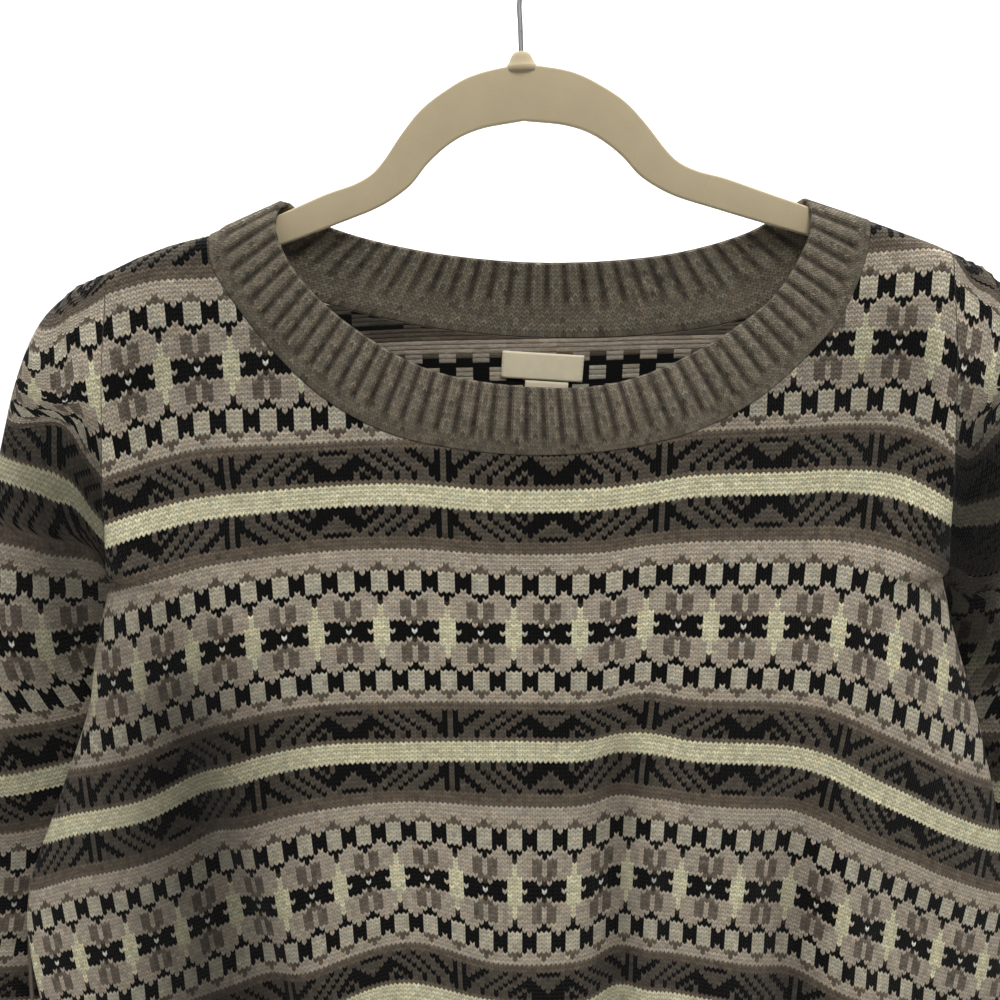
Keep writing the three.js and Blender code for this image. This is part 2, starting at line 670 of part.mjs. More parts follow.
// A flat label on the inside of the back, made from the back's inner points moved in
function label(patch) {
  const angle = radians(patch.tilt);
  const grid = (offset) =>
    [0.5, -0.5].map((v) =>
      Array.from({ length: LABEL_COLUMNS + 1 }, (_, k) => {
        const u = k / LABEL_COLUMNS - 0.5;
        const x = patch.x + u * patch.width * Math.cos(angle) - v * patch.height * Math.sin(angle);
        const z = patch.z + u * patch.width * Math.sin(angle) + v * patch.height * Math.cos(angle);
        const normal = panelNormal(x, z, BACK);
        return panelPoint(x, z, BACK).addScaledVector(normal, -(WALL + SEAM_GAP + offset));
      }),
    );
  return between(grid(0), grid(LABEL_THICKNESS), false);
}

// The hanger: an arch and two arms, cut from its outline
function hangerBody() {
  const top = HANGER_TOP.map(([x, z]) => [x, z]);
  const under = HANGER_UNDERSIDE.map(([x, z]) => [x, z]);
  const tip = [[226.5, -175.6], [227.6, -179.5], [226, -183.4]];
  const right = [...top, ...tip, ...under];
  const left = right.map(([x, z]) => [-x, z]).reverse();
  const points = [...right, [0, HANGER_CROWN_Z], ...left].map(([x, z]) => new THREE.Vector2(x, z));
  const shape = new THREE.Shape(points);
  const depth = HANGER_THICKNESS - 2 * HANGER_EDGE;
  const geometry = new THREE.ExtrudeGeometry(shape, {
    depth,
    bevelEnabled: true,
    bevelThickness: HANGER_EDGE,
    bevelSize: HANGER_EDGE,
    bevelOffset: -HANGER_EDGE,
    bevelSegments: 1,
    steps: 1,
  });
  geometry.translate(0, 0, -depth / 2);
  geometry.rotateX(Math.PI / 2);
  return geometry;
}

// The collar that holds the hook: a small turned knob seated on the hanger's crown
function collar() {
  const profile = [
    [0, COLLAR.baseZ], [COLLAR.radius, COLLAR.baseZ], [COLLAR.radius, COLLAR.baseZ + 1.4],
    [COLLAR.neck + 0.6, COLLAR.topZ - 2.6], [COLLAR.neck - 1.4, COLLAR.topZ - 0.6], [2.4, COLLAR.topZ],
    [0, COLLAR.topZ],
  ].map(([r, z]) => new THREE.Vector2(r, z));
  const geometry = new THREE.LatheGeometry(profile, 20);
  geometry.rotateX(Math.PI / 2);
  return geometry;
}

// The hook's centre line: the straight stem, then the loop, ending past its side
function hookPath() {
  const reach = LOOP_RADIUS + WIRE_RADIUS;
  const stem = STEM_POINTS.map(([x, z]) => new THREE.Vector3(x, 0, z));
  const loop = Array.from({ length: LOOP_STEPS + 1 }, (_, i) => {
    const angle = radians(mix(LOOP_START, LOOP_END, i / LOOP_STEPS));
    return new THREE.Vector3(reach * Math.cos(angle), 0, reach * Math.sin(angle));
  });
  return new THREE.CatmullRomCurve3([...stem, ...loop]);
}

function hook() {
  const path = hookPath();
  const section = new THREE.Shape();
  section.absarc(0, 0, WIRE_RADIUS, 0, 2 * Math.PI);
  return new THREE.ExtrudeGeometry(section, {
    steps: 40,
    bevelEnabled: false,
    curveSegments: 4,
    extrudePath: path,
  });
}

function finish(colour, roughness, metalness) {
  return new THREE.MeshStandardMaterial({ color: colour, roughness, metalness });
}

const knit = finish(COLOURS.knit, 0.95, 0);
const rib = finish(COLOURS.rib, 0.95, 0);
const woven = finish(COLOURS.label, 0.8, 0);
const flock = finish(COLOURS.flock, 1, 0);
const steel = finish(COLOURS.steel, 0.3, 1);

function piece(name, geometry, material) {
  const mesh = new THREE.Mesh(geometry, material);
  mesh.name = name;
  return mesh;
}

function panelWall(panel) {
  return wall(panelGrid(panel), WALL, false);
}

const jumper = new THREE.Group();
jumper.add(
  piece("front", panelWall(FRONT), knit),
  piece("back", panelWall(BACK), knit),
  piece("sleeve_left", sleeve(-1), knit),
  piece("sleeve_right", sleeve(1), knit),
  piece("neckband", neckband(), rib),
  piece("hem_rib_front", hemRib(FRONT), rib),
  piece("hem_rib_back", hemRib(BACK), rib),
  piece("cuff_left", cuff(-1), rib),
  piece("cuff_right", cuff(1), rib),
  piece("label", label(LABEL), woven),
  piece("size_tab", label(SIZE_TAB), woven),
);

// The hanger and its hook lean a little, as they hang; the loop's centre stays put
const hanger = new THREE.Group();
hanger.add(
  piece("hanger", hangerBody(), flock),
  piece("hook_collar", collar(), flock),
  piece("hook", hook(), steel),
);
hanger.rotation.y = -radians(HANGER_TILT);

const part = new THREE.Group();
part.add(jumper, hanger);
part.position.z = -LOOP_RADIUS;

export default part;
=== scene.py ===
"""The looks of a fair isle jumper that hangs on a flocked hanger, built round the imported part.

Every table is in millimetres, measured from the centre of the hook's loop. The whole group is
lowered by the loop's inner radius, so that the origin is where the loop rests on its rail.
The front faces -Y. The knitting is real geometry: two small slanted faces to a stitch, each
with the colour of its yarn from the charts below.
"""

import math

import bmesh
import bpy
import numpy as np
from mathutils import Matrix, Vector

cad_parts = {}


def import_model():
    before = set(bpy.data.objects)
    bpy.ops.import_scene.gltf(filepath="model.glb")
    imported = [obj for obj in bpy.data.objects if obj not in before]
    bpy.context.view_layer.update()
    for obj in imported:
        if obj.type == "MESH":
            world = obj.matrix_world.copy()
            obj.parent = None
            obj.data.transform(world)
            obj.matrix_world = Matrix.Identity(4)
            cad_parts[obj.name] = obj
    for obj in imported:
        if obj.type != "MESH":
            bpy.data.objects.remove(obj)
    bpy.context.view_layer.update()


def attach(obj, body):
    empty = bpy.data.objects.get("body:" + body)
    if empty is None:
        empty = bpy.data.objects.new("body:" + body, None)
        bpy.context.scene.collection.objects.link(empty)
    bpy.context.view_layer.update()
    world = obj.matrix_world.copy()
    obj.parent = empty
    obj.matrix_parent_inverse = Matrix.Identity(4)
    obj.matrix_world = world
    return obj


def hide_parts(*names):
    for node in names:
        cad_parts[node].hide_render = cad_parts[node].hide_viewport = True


MM = 0.001
LOOP_RADIUS = 16.0
WALL = 2.6
BAND_WALL = 3.0
SEAM_GAP = 0.3

# Body, as in the part's source: where the cloth lies on the arms and how far it stands off
FOLD_RADIUS = 9.0
SHOULDER_X = [-223, -208, -190, -167, 12, 192, 228, 237]
SHOULDER_Z = [-175.8, -168.8, -162.3, -156.4, -118, -148.7, -161.2, -165]
ARMHOLE_TOP = {-1: (-223, -175.8), 1: (237, -165)}
ARMHOLE_FOOT = {-1: (-234, -350), 1: (247, -347)}
ARMHOLE_DEPTH = 17.0
ARMHOLE_ROUNDING = 60.0
OUTLINE_Z = [-350, -390, -430, -490, -545, -610, -700, -750, -812]
OUTLINE_LEFT = [-234, -245, -253, -276, -297, -304, -303, -298, -288]
OUTLINE_RIGHT = [247, 259, 273, 290, 301, 307, 308, 303, 293]
FRONT_DEPTH = [37, 37, 36, 35, 34, 33, 31, 28, 25]
BACK_DEPTH = [22, 23, 24, 25, 26, 26, 25, 23, 21]
RIB_TOP_Z = -750.0
HEM_Z = -812.0
SIDE_ROUNDNESS = 2.5
CHEST_RISE = 170.0
ARMHOLE_BLEND = 0.7

# Main folds of the front and the back: x0, z0, x1, z1, width, height outward
FRONT_FOLDS = [
    (55, -400, 59, -600, 13, -7), (71, -395, 78, -620, 12, 6), (156, -430, 174, -735, 17, -9),
    (184, -450, 214, -735, 18, 6), (-214, -392, -146, -590, 17, -7), (-178, -408, -112, -640, 17, 5),
    (-57, -560, -60, -745, 20, 7), (-12, -570, 2, -745, 22, -6), (-222, -345, -160, -302, 12, -4),
    (236, -342, 170, -300, 12, -4), (-236, -560, -222, -745, 18, 6),
]
BACK_FOLDS = [
    (-60, -300, -90, -720, 22, 5), (-10, -380, -24, -745, 20, -6), (90, -330, 128, -740, 24, 6),
    (150, -420, 190, -745, 18, -5), (-150, -400, -200, -740, 20, -5),
]

# Painted shade where little light reaches the cloth: x0, z0, x1, z1, width, how much darker it is painted
FRONT_PAINTED_SHADE = [
    (-194, -320, -178, -700, 52, 0.72), (57, -400, 60, -660, 15, 0.35), (158, -460, 173, -735, 17, 0.35),
    (-245, -215, -95, -235, 42, 0.34), (255, -215, 110, -235, 45, 0.42), (238, -300, 240, -350, 16, 0.4),
]
BACK_PAINTED_SHADE = [
    (-60, -320, -90, -720, 30, 0.2), (130, -340, 160, -740, 34, 0.25),
]
# The most painted shade a stitch of an outer face gets
DEEPEST_PAINTED_SHADE = 0.75
# Painted shade over the panels' whole inner faces
INSIDE_PAINTED_SHADE = 0.35

# The neck seam of each panel, and the neckband's free edge
NECK_FRONT = [
    (-167, -156.4), (-166, -172), (-153, -194), (-129, -222), (-102, -245), (-68, -262), (-30, -270),
    (12, -273), (55, -270), (95, -261), (127, -246), (155, -224), (178, -198), (190, -168), (192, -148.7),
]
NECK_BACK = [
    (-167, -156.4), (-157, -168), (-128, -186), (-82, -200), (-35, -209), (20, -213), (78, -211),
    (128, -202), (166, -180), (184, -160), (192, -148.7),
]
NECK_EDGE = [
    (-127, 0, -139.4), (-131, -9, -149.5), (-127, -13, -165), (-113, -19, -185), (-86, -25, -208),
    (-46, -30, -229), (14, -33, -238), (56, -31, -235), (99, -26, -218), (138, -19, -191),
    (154, -13, -168), (160, -9, -152.3), (158, 0, -138.4), (150, 9, -143.6), (131, 13, -155),
    (88, 15, -167), (20, 16.5, -172), (-44, 15, -167), (-94, 13, -156), (-117, 9, -146.6),
]
NECK_EDGE_RIGHT = 12
BAND_RISE = 0.5
BAND_BULGE = 1.6

# Sleeves: rings from the outer fold to the inner one, measured from the armhole's two ends
RING_OUT_X = [22, 43, 59, 73, 92, 112, 126, 137, 143, 146, 145]
RING_OUT_Z = [-9, -30, -62, -105, -158, -214, -270, -330, -390, -450, -508]
RING_OUT_Y = [1, 2, 4, 6, 9, 13, 18, 23, 27, 30, 32]
RING_IN_X = [0.8, 1.4, 2.4, 5.5, 10, 10, -8, -14, -6, 7, 20]
RING_IN_Z = [0.5, -0.5, -3, -11, -28, -58, -100, -158, -220, -281, -339]
RING_IN_Y = [1, 3, 6, 12, 23, 35, 43, 45, 46, 46, 45]
RING_DEPTH = [17, 18, 19, 19, 18, 17, 16, 15, 15, 14, 13]
CUFF_TOP = (145, -508.7, 32, 20, -339.7, 45, 13)
CUFF_END = (136, -572, 35, 36, -403, 45, 12)
RING_FLATNESS = 2.3

# Where the knitted rows run on the body. A row number counts down from the top of the upper
# cream stripe; each line gives the height of one row at the widths below.
ROW_X = [-300, -264, -240, -218, -197, -170, -116, -62, -9, 45, 72, 98, 152, 178, 211, 233, 250, 280, 320]
ROW_LINES = {
    -40: [-235, -222, -211, -204, -198.5, -197, -193, -190, -188, -187, -186.5, -186, -185, -184.5, -182,
          -181.5, -190, -205, -225],
    -28: [-270, -255, -243, -236, -231, -227, -222, -219, -218, -217, -216, -215.5, -214, -213.5, -213,
          -217, -233, -250, -265],
    -16: [-305, -290, -277, -269, -262, -256, -254, -251, -250, -249, -248, -247, -245.5, -244, -244.5,
          -252, -266, -285, -300],
    2.5: [-354, -339, -326.5, -317.5, -311, -304.5, -297.5, -294.5, -298.5, -297.5, -294, -290, -289,
          -288.5, -293, -302.5, -313, -330, -345],
    64.5: [-516.5, -498.5, -491.5, -485, -475, -461, -446.5, -443, -442, -442, -436, -442.5, -446.5,
           -453.5, -472, -483.5, -493, -507.5, -525],
    126.5: [-672, -661, -654, -646, -639, -629, -614, -594, -612, -609, -598, -604, -618, -626, -638,
            -646, -654, -665, -678],
    188.5: [-785, -778, -774, -771, -768, -765, -760, -757, -758, -757, -756, -757, -760, -762, -766,
            -770, -773, -778, -785],
}
ROW_PITCH = 2.45
CENTRE_X = 17.0
# How many rows higher a stitch's two legs reach at its sides than in its middle
SLANT = 0.6
# The back was knitted higher at the neck: its wrong side shows earlier rows there
INSIDE_SHIFT = {-1: 0, 1: -17}
# The rows and half stitches that cover a panel, and the half stitches where floats begin and end
BODY_ROWS = np.arange(-66, 190)
HALF_STITCHES = np.arange(-230, 231)
FLOAT_ENDS = np.arange(-230, 231, 6)
# Width of a stitch along the cloth, by row
GAUGE_ROWS = [-60, -16, 22, 46, 83, 105, 190]
GAUGE_WIDTHS = [3.3, 3.17, 3.07, 3.02, 2.92, 2.84, 2.82]

# Where the rows run on each sleeve: seven points of a row, from the outer fold to the armhole's
# seam or the inner fold. A point is a share of the way across and a ring number.
SLEEVE_ROWS = {
    -1: {
        -58: [(0, 0.05), (0, 0.04), (0, 0.03), (0, 0.03), (0, 0.02), (0, 0.01), (0, 0)],
        -52: [(0, 1.6), (0.02, 1.5), (0.035, 1.35), (0.05, 1.1), (0.055, 0.8), (0.045, 0.4), (0.03, 0)],
        -40: [(0, 2.5), (0.05, 2.4), (0.1, 2.25), (0.145, 2.0), (0.178, 1.5), (0.17, 0.65), (0.138, 0)],
        -28: [(0, 2.87), (0.08, 2.75), (0.17, 2.52), (0.27, 2.12), (0.35, 1.6), (0.37, 0.7), (0.338, 0)],
        -16: [(0, 3.22), (0.09, 3.1), (0.18, 2.85), (0.29, 2.38), (0.4, 1.6), (0.49, 0.8), (0.545, 0)],
        -8: [(0, 3.54), (0.1, 3.36), (0.2, 3.1), (0.32, 2.53), (0.44, 1.65), (0.557, 1.02), (0.68, 0)],
        2.5: [(0, 4.05), (0.16, 3.83), (0.3, 3.58), (0.463, 3.13), (0.62, 2.07), (0.76, 1.14), (0.86, 0)],
        12: [(0, 4.64), (0.2, 4.5), (0.38, 4.3), (0.53, 4.02), (0.68, 3.4), (0.82, 2.4), (1, 0.05)],
        15: [(0, 4.84), (0.2, 4.72), (0.4, 4.53), (0.55, 4.3), (0.7, 3.88), (0.83, 3.2), (1, 1)],
        18.5: [(0, 5.02), (0.2, 4.94), (0.4, 4.79), (0.55, 4.6), (0.7, 4.27), (0.84, 3.85), (1, 2.9)],
        22.5: [(0, 5.22), (0.2, 5.16), (0.4, 5.05), (0.55, 4.92), (0.72, 4.66), (0.86, 4.46), (1, 4.3)],
        34.5: [(0, 6), (0.2, 5.96), (0.4, 5.91), (0.57, 5.87), (0.73, 5.73), (0.86, 5.58), (1, 5.45)],
        46.5: [(0, 6.77), (0.2, 6.75), (0.4, 6.7), (0.55, 6.66), (0.7, 6.56), (0.85, 6.4), (1, 6.3)],
        64.5: [(0, 7.75), (0.2, 7.72), (0.4, 7.68), (0.55, 7.59), (0.7, 7.5), (0.85, 7.4), (1, 7.3)],
        142: [(0, 11), (0.2, 11), (0.4, 11), (0.55, 11), (0.7, 11), (0.85, 11), (1, 11)],
    },
    1: {
        -58: [(0, 0.05), (0, 0.04), (0, 0.03), (0, 0.03), (0, 0.02), (0, 0.01), (0, 0)],
        -52: [(0, 1.6), (0.02, 1.5), (0.035, 1.35), (0.05, 1.1), (0.055, 0.8), (0.045, 0.4), (0.03, 0)],
        -40: [(0, 2.36), (0.05, 2.28), (0.1, 2.1), (0.14, 1.75), (0.15, 1.2), (0.13, 0.6), (0.108, 0)],
        -28: [(0, 2.75), (0.08, 2.63), (0.17, 2.4), (0.27, 2.05), (0.36, 1.5), (0.345, 0.7), (0.318, 0)],
        -16: [(0, 3.1), (0.09, 2.97), (0.18, 2.75), (0.3, 2.3), (0.43, 1.6), (0.52, 0.85), (0.504, 0)],
        -8: [(0, 3.42), (0.12, 3.3), (0.25, 3.1), (0.38, 2.7), (0.5, 2), (0.6, 1.1), (0.6, 0)],
        2.5: [(0, 4.05), (0.18, 3.95), (0.36, 3.75), (0.557, 3.46),
              (0.687, 2.62), (0.775, 1.1), (0.787, 0)],
        12: [(0, 4.6), (0.2, 4.55), (0.4, 4.5), (0.6, 4.4), (0.76, 4), (0.87, 2.6), (0.915, 0)],
        15: [(0, 4.8), (0.2, 4.77), (0.4, 4.74), (0.61, 4.7), (0.787, 4.4), (0.92, 3.2), (0.96, 0)],
        18.5: [(0, 5), (0.2, 4.98), (0.4, 4.95), (0.6, 4.9), (0.78, 4.75), (0.92, 4.3), (1, 2)],
        22.5: [(0, 5.25), (0.2, 5.23), (0.4, 5.2), (0.6, 5.17), (0.74, 5.14), (0.88, 5), (1, 4.8)],
        34.5: [(0, 6.15), (0.2, 6.14), (0.4, 6.12), (0.6, 6.1), (0.74, 6.1), (0.87, 6.05), (1, 5.95)],
        46.5: [(0, 6.95), (0.2, 6.94), (0.4, 6.92), (0.6, 6.9), (0.74, 6.88), (0.87, 6.85), (1, 6.8)],
        64.5: [(0, 7.95), (0.2, 7.94), (0.4, 7.92), (0.6, 7.9), (0.74, 7.88), (0.87, 7.85), (1, 7.8)],
        142: [(0, 11), (0.2, 11), (0.4, 11), (0.6, 11), (0.74, 11), (0.87, 11), (1, 11)],
    },
}
SLEEVE_FIRST_ROW = -57
SLEEVE_LAST_ROW = 141
# The row that meets the foot of the armhole
FOOT_ROW = 18
SLEEVE_GAUGE = 3.1
# How much painted shade darkens each sleeve where it hangs behind the body's edge
SLEEVE_PAINTED_SHADE = {-1: 0.66, 1: 0.92}

# Charts. K black, g ground of the dark bands, t taupe, l light grey, s pale square, c cream,
# w white, d dark point, p petal. Each repeat is mirrored about its first and its last stitch.
PERIOD = 62
FLOWER_REPEAT = 12
FLOWER_ROWS = [
    "ttttttt", "ttttttt", "ttttttt", "lllllll", "lllllll", "lllllll", "tlllllt", "ttllltt",
    "ssKlKss", "ssKKKss", "ssKKKss", "ssKKKss", "ssKlKss", "KKlllKK", "KlllllK", "lppllld",
    "lpplllc", "lpplllc", "lpplllc", "pplllcc", "dlKKKcc", "KKKKKcc", "wKKKscc", "KKKKKcc",
    "dlKKKcc", "pplllcc", "lpplllc", "lpplllc", "lpplllc", "lppllld", "KlllllK", "KKlllKK",
    "ssKlKss", "ssKKKss", "ssKKKss", "ssKKKss", "ssKlKss", "ttllltt", "tlllllt", "lllllll",
    "ttttttt", "ttttttt",
]
FLOWER_FIRST_ROW = 12
DARK_REPEAT = 38
DARK_CENTRE = 20
DARK_ROWS = [
    "gKgggKKgggKggKgggKKK", "gKggKKgggKggKggKgggg", "gKgKKgggKggKggKKKggg", "gKKKgggKggKggKKKKKgg",
    "gKKgggKggKggKKgKKKKg", "gKKggKggKggKKgKgKKKK", "gKgggKggKggKgKKgKKKK",
]
DARK_UPPER_ROW = 54
DARK_LOWER_ROW = 5

YARNS = {
    "K": (7, 6, 5), "g": (86, 79, 69), "t": (103, 92, 79), "l": (178, 166, 148), "s": (190, 182, 161),
    "c": (216, 210, 176), "w": (222, 220, 208), "d": (60, 51, 42), "p": (112, 102, 90),
}
# Rib yarn: its colour on the ridges, and a painted shade colour for the grooves between them
RIB_RIDGE = (118, 110, 95)
RIB_GROOVE_PAINTED_SHADE = (62, 55, 46)
PALE_YARNS = "lsc"

# Label and tab, inside the back
LABEL = (15.5, -229, 47, 15.5)
SIZE_TAB = (17.5, -247.6, 25, 20)
LABEL_TILT = -3.5

# Hanger and hook
HANGER_TILT = 2.2
HANGER_THICKNESS = 5.5
HANGER_TOP = [
    (10, -69.5), (28, -73.5), (42, -80.5), (55, -89.5), (66, -101.5), (76, -114.5), (82.5, -121), (92, -126),
    (108, -130.8), (130, -139.1), (222, -173.1),
]
HANGER_TIP = [(226.5, -175.6), (227.6, -179.5), (226, -183.4)]
HANGER_UNDERSIDE = [
    (222, -184.5), (130, -155.5), (104, -147), (82, -139.5), (72, -134.5), (62, -127.5), (52, -116.5),
    (38, -106), (24, -100.5),
]
HANGER_CROWN = (0, -97)
# How far the rounded edge is drawn in, and the share of its depth that is reached there
HANGER_ROUND = [(1.3, 0), (0.85, 0.06), (0.42, 0.26), (0.12, 0.62), (0.0, 1.0)]
HANGER_EDGE = 1.25
COLLAR_PROFILE = [
    (0.0, -61.6), (2.2, -61.7), (3.9, -62.4), (5.2, -63.8), (6.2, -65.8), (7.2, -67.6), (8.4, -69.2),
    (8.4, -71.5), (0.0, -71.5),
]
KNOB_FLATNESS = 0.62
WIRE_RADIUS = 1.4
STEM_POINTS = [(0, -64), (0, -56), (0, -48), (0, -37), (2.2, -30), (7.5, -23.5)]
LOOP_START = -40
LOOP_END = 205
# The rounding of a tube's end: how far past it each ring lies and how wide it is, in radii
TUBE_END = [(0.55, 0.83), (0.9, 0.45), (1.0, 0.01)]

# Camera, as the photo was taken: from the front, looking down a little
CAMERA_AT = (-0.008854, -0.619407, -0.200140)
CAMERA_AIM = (-0.008854, 0.0, -0.320540)
CAMERA_LENS = 39.6
CAMERA_SENSOR = 36.0

# Lights: name, place, what it is aimed at, size and power
LIGHTS = [
    ("key", (0.35, -1.15, 0.95), (0.0, 0.0, -0.4), 0.7, 21),
    ("fill", (-0.9, -1.5, -0.1), (0.0, 0.0, -0.4), 1.2, 3),
    ("wall", (0.0, 0.55, 0.9), (0.0, 1.6, -0.4), 1.6, 60),
]
WORLD_COLOUR = (1.0, 0.99, 0.97, 1.0)
WORLD_STRENGTH = 0.3

# The pale floor, in metres: its height, where it starts to turn up into the wall, and how wide it turns
FLOOR_Z = -1.25
FLOOR_FRONT = -3.0
FLOOR_BEND_Y = 1.1
FLOOR_BEND_RADIUS = 0.5
WALL_TOP = 2.4
FLOOR_COLOUR = (0.88, 0.88, 0.87)

TAPE_COLOUR = (226, 214, 184)
THREAD_COLOUR = (196, 184, 156)
FLOCK_COLOUR = (170, 156, 128)
STEEL_COLOUR = (0.4, 0.4, 0.41, 1.0)


def ease(t):
    c = np.clip(t, 0, 1)
    return c * c * (3 - 2 * c)


def turn_over(h, radius):
    """How far a quarter-round has turned out at a distance h past its start."""
    return radius * np.sqrt(np.maximum(1 - (1 - np.clip(h / radius, 0, 1)) ** 2, 0))


def smooth_through(keys, values):
    """A smooth function through a table's points, level beyond its ends."""
    keys = np.asarray(keys, float)
    values = np.asarray(values, float)
    if keys[0] > keys[-1]:
        keys, values = keys[::-1], values[::-1]
    slopes = np.gradient(values, keys)
    slopes[1:-1] = (values[2:] - values[:-2]) / (keys[2:] - keys[:-2])

    def at(x):
        x = np.asarray(x, float)
        i = np.clip(np.searchsorted(keys, x, side="right") - 1, 0, len(keys) - 2)
        span = keys[i + 1] - keys[i]
        t = np.clip((x - keys[i]) / span, 0, 1)
        t2, t3 = t * t, t * t * t
        return (
            (2 * t3 - 3 * t2 + 1) * values[i]
            + (t3 - 2 * t2 + t) * span * slopes[i]
            + (3 * t2 - 2 * t3) * values[i + 1]
            + (t3 - t2) * span * slopes[i + 1]
        )

    return at


body_left = smooth_through(OUTLINE_Z, OUTLINE_LEFT)
body_right = smooth_through(OUTLINE_Z, OUTLINE_RIGHT)
FRONT = {"way": -1, "depth": smooth_through(OUTLINE_Z, FRONT_DEPTH), "folds": FRONT_FOLDS, "neck": NECK_FRONT,
         "painted_shade_table": FRONT_PAINTED_SHADE}
BACK = {"way": 1, "depth": smooth_through(OUTLINE_Z, BACK_DEPTH), "folds": BACK_FOLDS, "neck": NECK_BACK,
        "painted_shade_table": BACK_PAINTED_SHADE}


def shoulder_z(x):
    return np.interp(x, SHOULDER_X, SHOULDER_Z)


def side_x(z, side):
    """Left or right limit of a panel: the armhole above the underarm, the side seam below it."""
    top, foot = ARMHOLE_TOP[side], ARMHOLE_FOOT[side]
    hole = foot[0] + (top[0] - foot[0]) * (z - foot[1]) / (top[1] - foot[1])
    return np.where(z > foot[1], hole, body_left(z) if side < 0 else body_right(z))


def armhole_depth(below, above):
    rest = ARMHOLE_DEPTH - FOLD_RADIUS
    from_top = turn_over(below, FOLD_RADIUS) + rest * ease(below / ARMHOLE_ROUNDING)
    from_foot = turn_over(above, FOLD_RADIUS) + rest * ease(above / ARMHOLE_ROUNDING)
    return from_top * from_foot / ARMHOLE_DEPTH


def fold_height(folds, x, z):
    total = np.zeros(np.broadcast(x, z).shape)
    for x0, z0, x1, z1, width, height in folds:
        dx, dz = x1 - x0, z1 - z0
        along = ((x - x0) * dx + (z - z0) * dz) / (dx * dx + dz * dz)
        across = ((x - x0) * dz - (z - z0) * dx) / math.hypot(dx, dz)
        total += height * ease(along / 0.3) * ease((1.25 - along) / 0.25) * np.exp(-((across / width) ** 2))
    return total


def panel_depth(x, z, panel):
    """How far a panel's outer face stands off the hanger's plane."""
    left, right = side_x(z, -1), side_x(z, 1)
    middle = (left + right) / 2
    on_left = x < middle
    foot_z = np.where(on_left, ARMHOLE_FOOT[-1][1], ARMHOLE_FOOT[1][1])
    across = np.clip((x - middle) / (np.where(on_left, left, right) - middle), 0, 1)
    below = np.maximum(shoulder_z(x) - z, 0)
    above = np.maximum(z - foot_z, 0)
    chest = turn_over(below, FOLD_RADIUS) + (panel["depth"](z) - FOLD_RADIUS) * ease(below / CHEST_RISE)
    lateral = np.maximum(1 - across**SIDE_ROUNDNESS, 0) ** (1 / SIDE_ROUNDNESS)
    near = ease((across - ARMHOLE_BLEND) / (1 - ARMHOLE_BLEND))
    kept = 1 - near * ease(above / ARMHOLE_ROUNDING)
    folds = fold_height(panel["folds"], x, z) * lateral * ease(below / 60)
    return chest * lateral * kept + armhole_depth(below, above) * near + folds


def panel_points(x, z, panel):
    y = panel["way"] * np.maximum(panel_depth(x, z, panel), SEAM_GAP / 2)
    return np.stack([x, y, z], axis=-1)


def panel_normals(x, z, panel, step=0.4):
    low = np.minimum(z, shoulder_z(x) - step)
    slope_x = (panel_depth(x + step, low, panel) - panel_depth(x - step, low, panel)) / (2 * step)
    slope_z = (panel_depth(x, low + step, panel) - panel_depth(x, low - step, panel)) / (2 * step)
    n = np.stack([-slope_x, np.full_like(slope_x, panel["way"]), -slope_z], axis=-1)
    return n / np.linalg.norm(n, axis=-1, keepdims=True)


def flattened(x, z):
    """Height of a point with the turn over the arms unrolled."""
    start = shoulder_z(x) - FOLD_RADIUS
    angle = np.arcsin(np.clip((z - start) / FOLD_RADIUS, 0, 1))
    return np.where(z > start, start + FOLD_RADIUS * angle, z)


def rolled(x, flat):
    start = shoulder_z(x) - FOLD_RADIUS
    angle = np.clip((flat - start) / FOLD_RADIUS, 0, math.pi / 2)
    return np.where(flat > start, start + FOLD_RADIUS * np.sin(angle), flat)


# The heights of the tables' rows at fine steps of width, worked out once
FINE_X = np.arange(-330, 330.01, 0.5)
LINE_ROWS = np.array(sorted(ROW_LINES), float)
LINE_HEIGHTS = np.array([smooth_through(ROW_X, ROW_LINES[r])(FINE_X) for r in sorted(ROW_LINES)])


def row_heights(row):
    """Flattened height of a knitted row at each of the fine steps of width."""
    if row <= LINE_ROWS[0]:
        return LINE_HEIGHTS[0] + (LINE_ROWS[0] - row) * ROW_PITCH
    i = min(int(np.searchsorted(LINE_ROWS, row, side="right")) - 1, len(LINE_ROWS) - 2)
    t = (row - LINE_ROWS[i]) / (LINE_ROWS[i + 1] - LINE_ROWS[i])
    return LINE_HEIGHTS[i] * (1 - t) + LINE_HEIGHTS[i + 1] * t


def row_stitches(row, panel):
    """Stitch counts from the centre line at each fine step of width along a row."""
    flat = row_heights(row + SLANT / 2)
    points = panel_points(FINE_X, rolled(FINE_X, flat), panel)
    steps = np.linalg.norm(np.diff(points, axis=0), axis=1)
    arc = np.concatenate([[0], np.cumsum(steps)])
    arc -= np.interp(CENTRE_X, FINE_X, arc)
    return arc / np.interp(row, GAUGE_ROWS, GAUGE_WIDTHS), flat


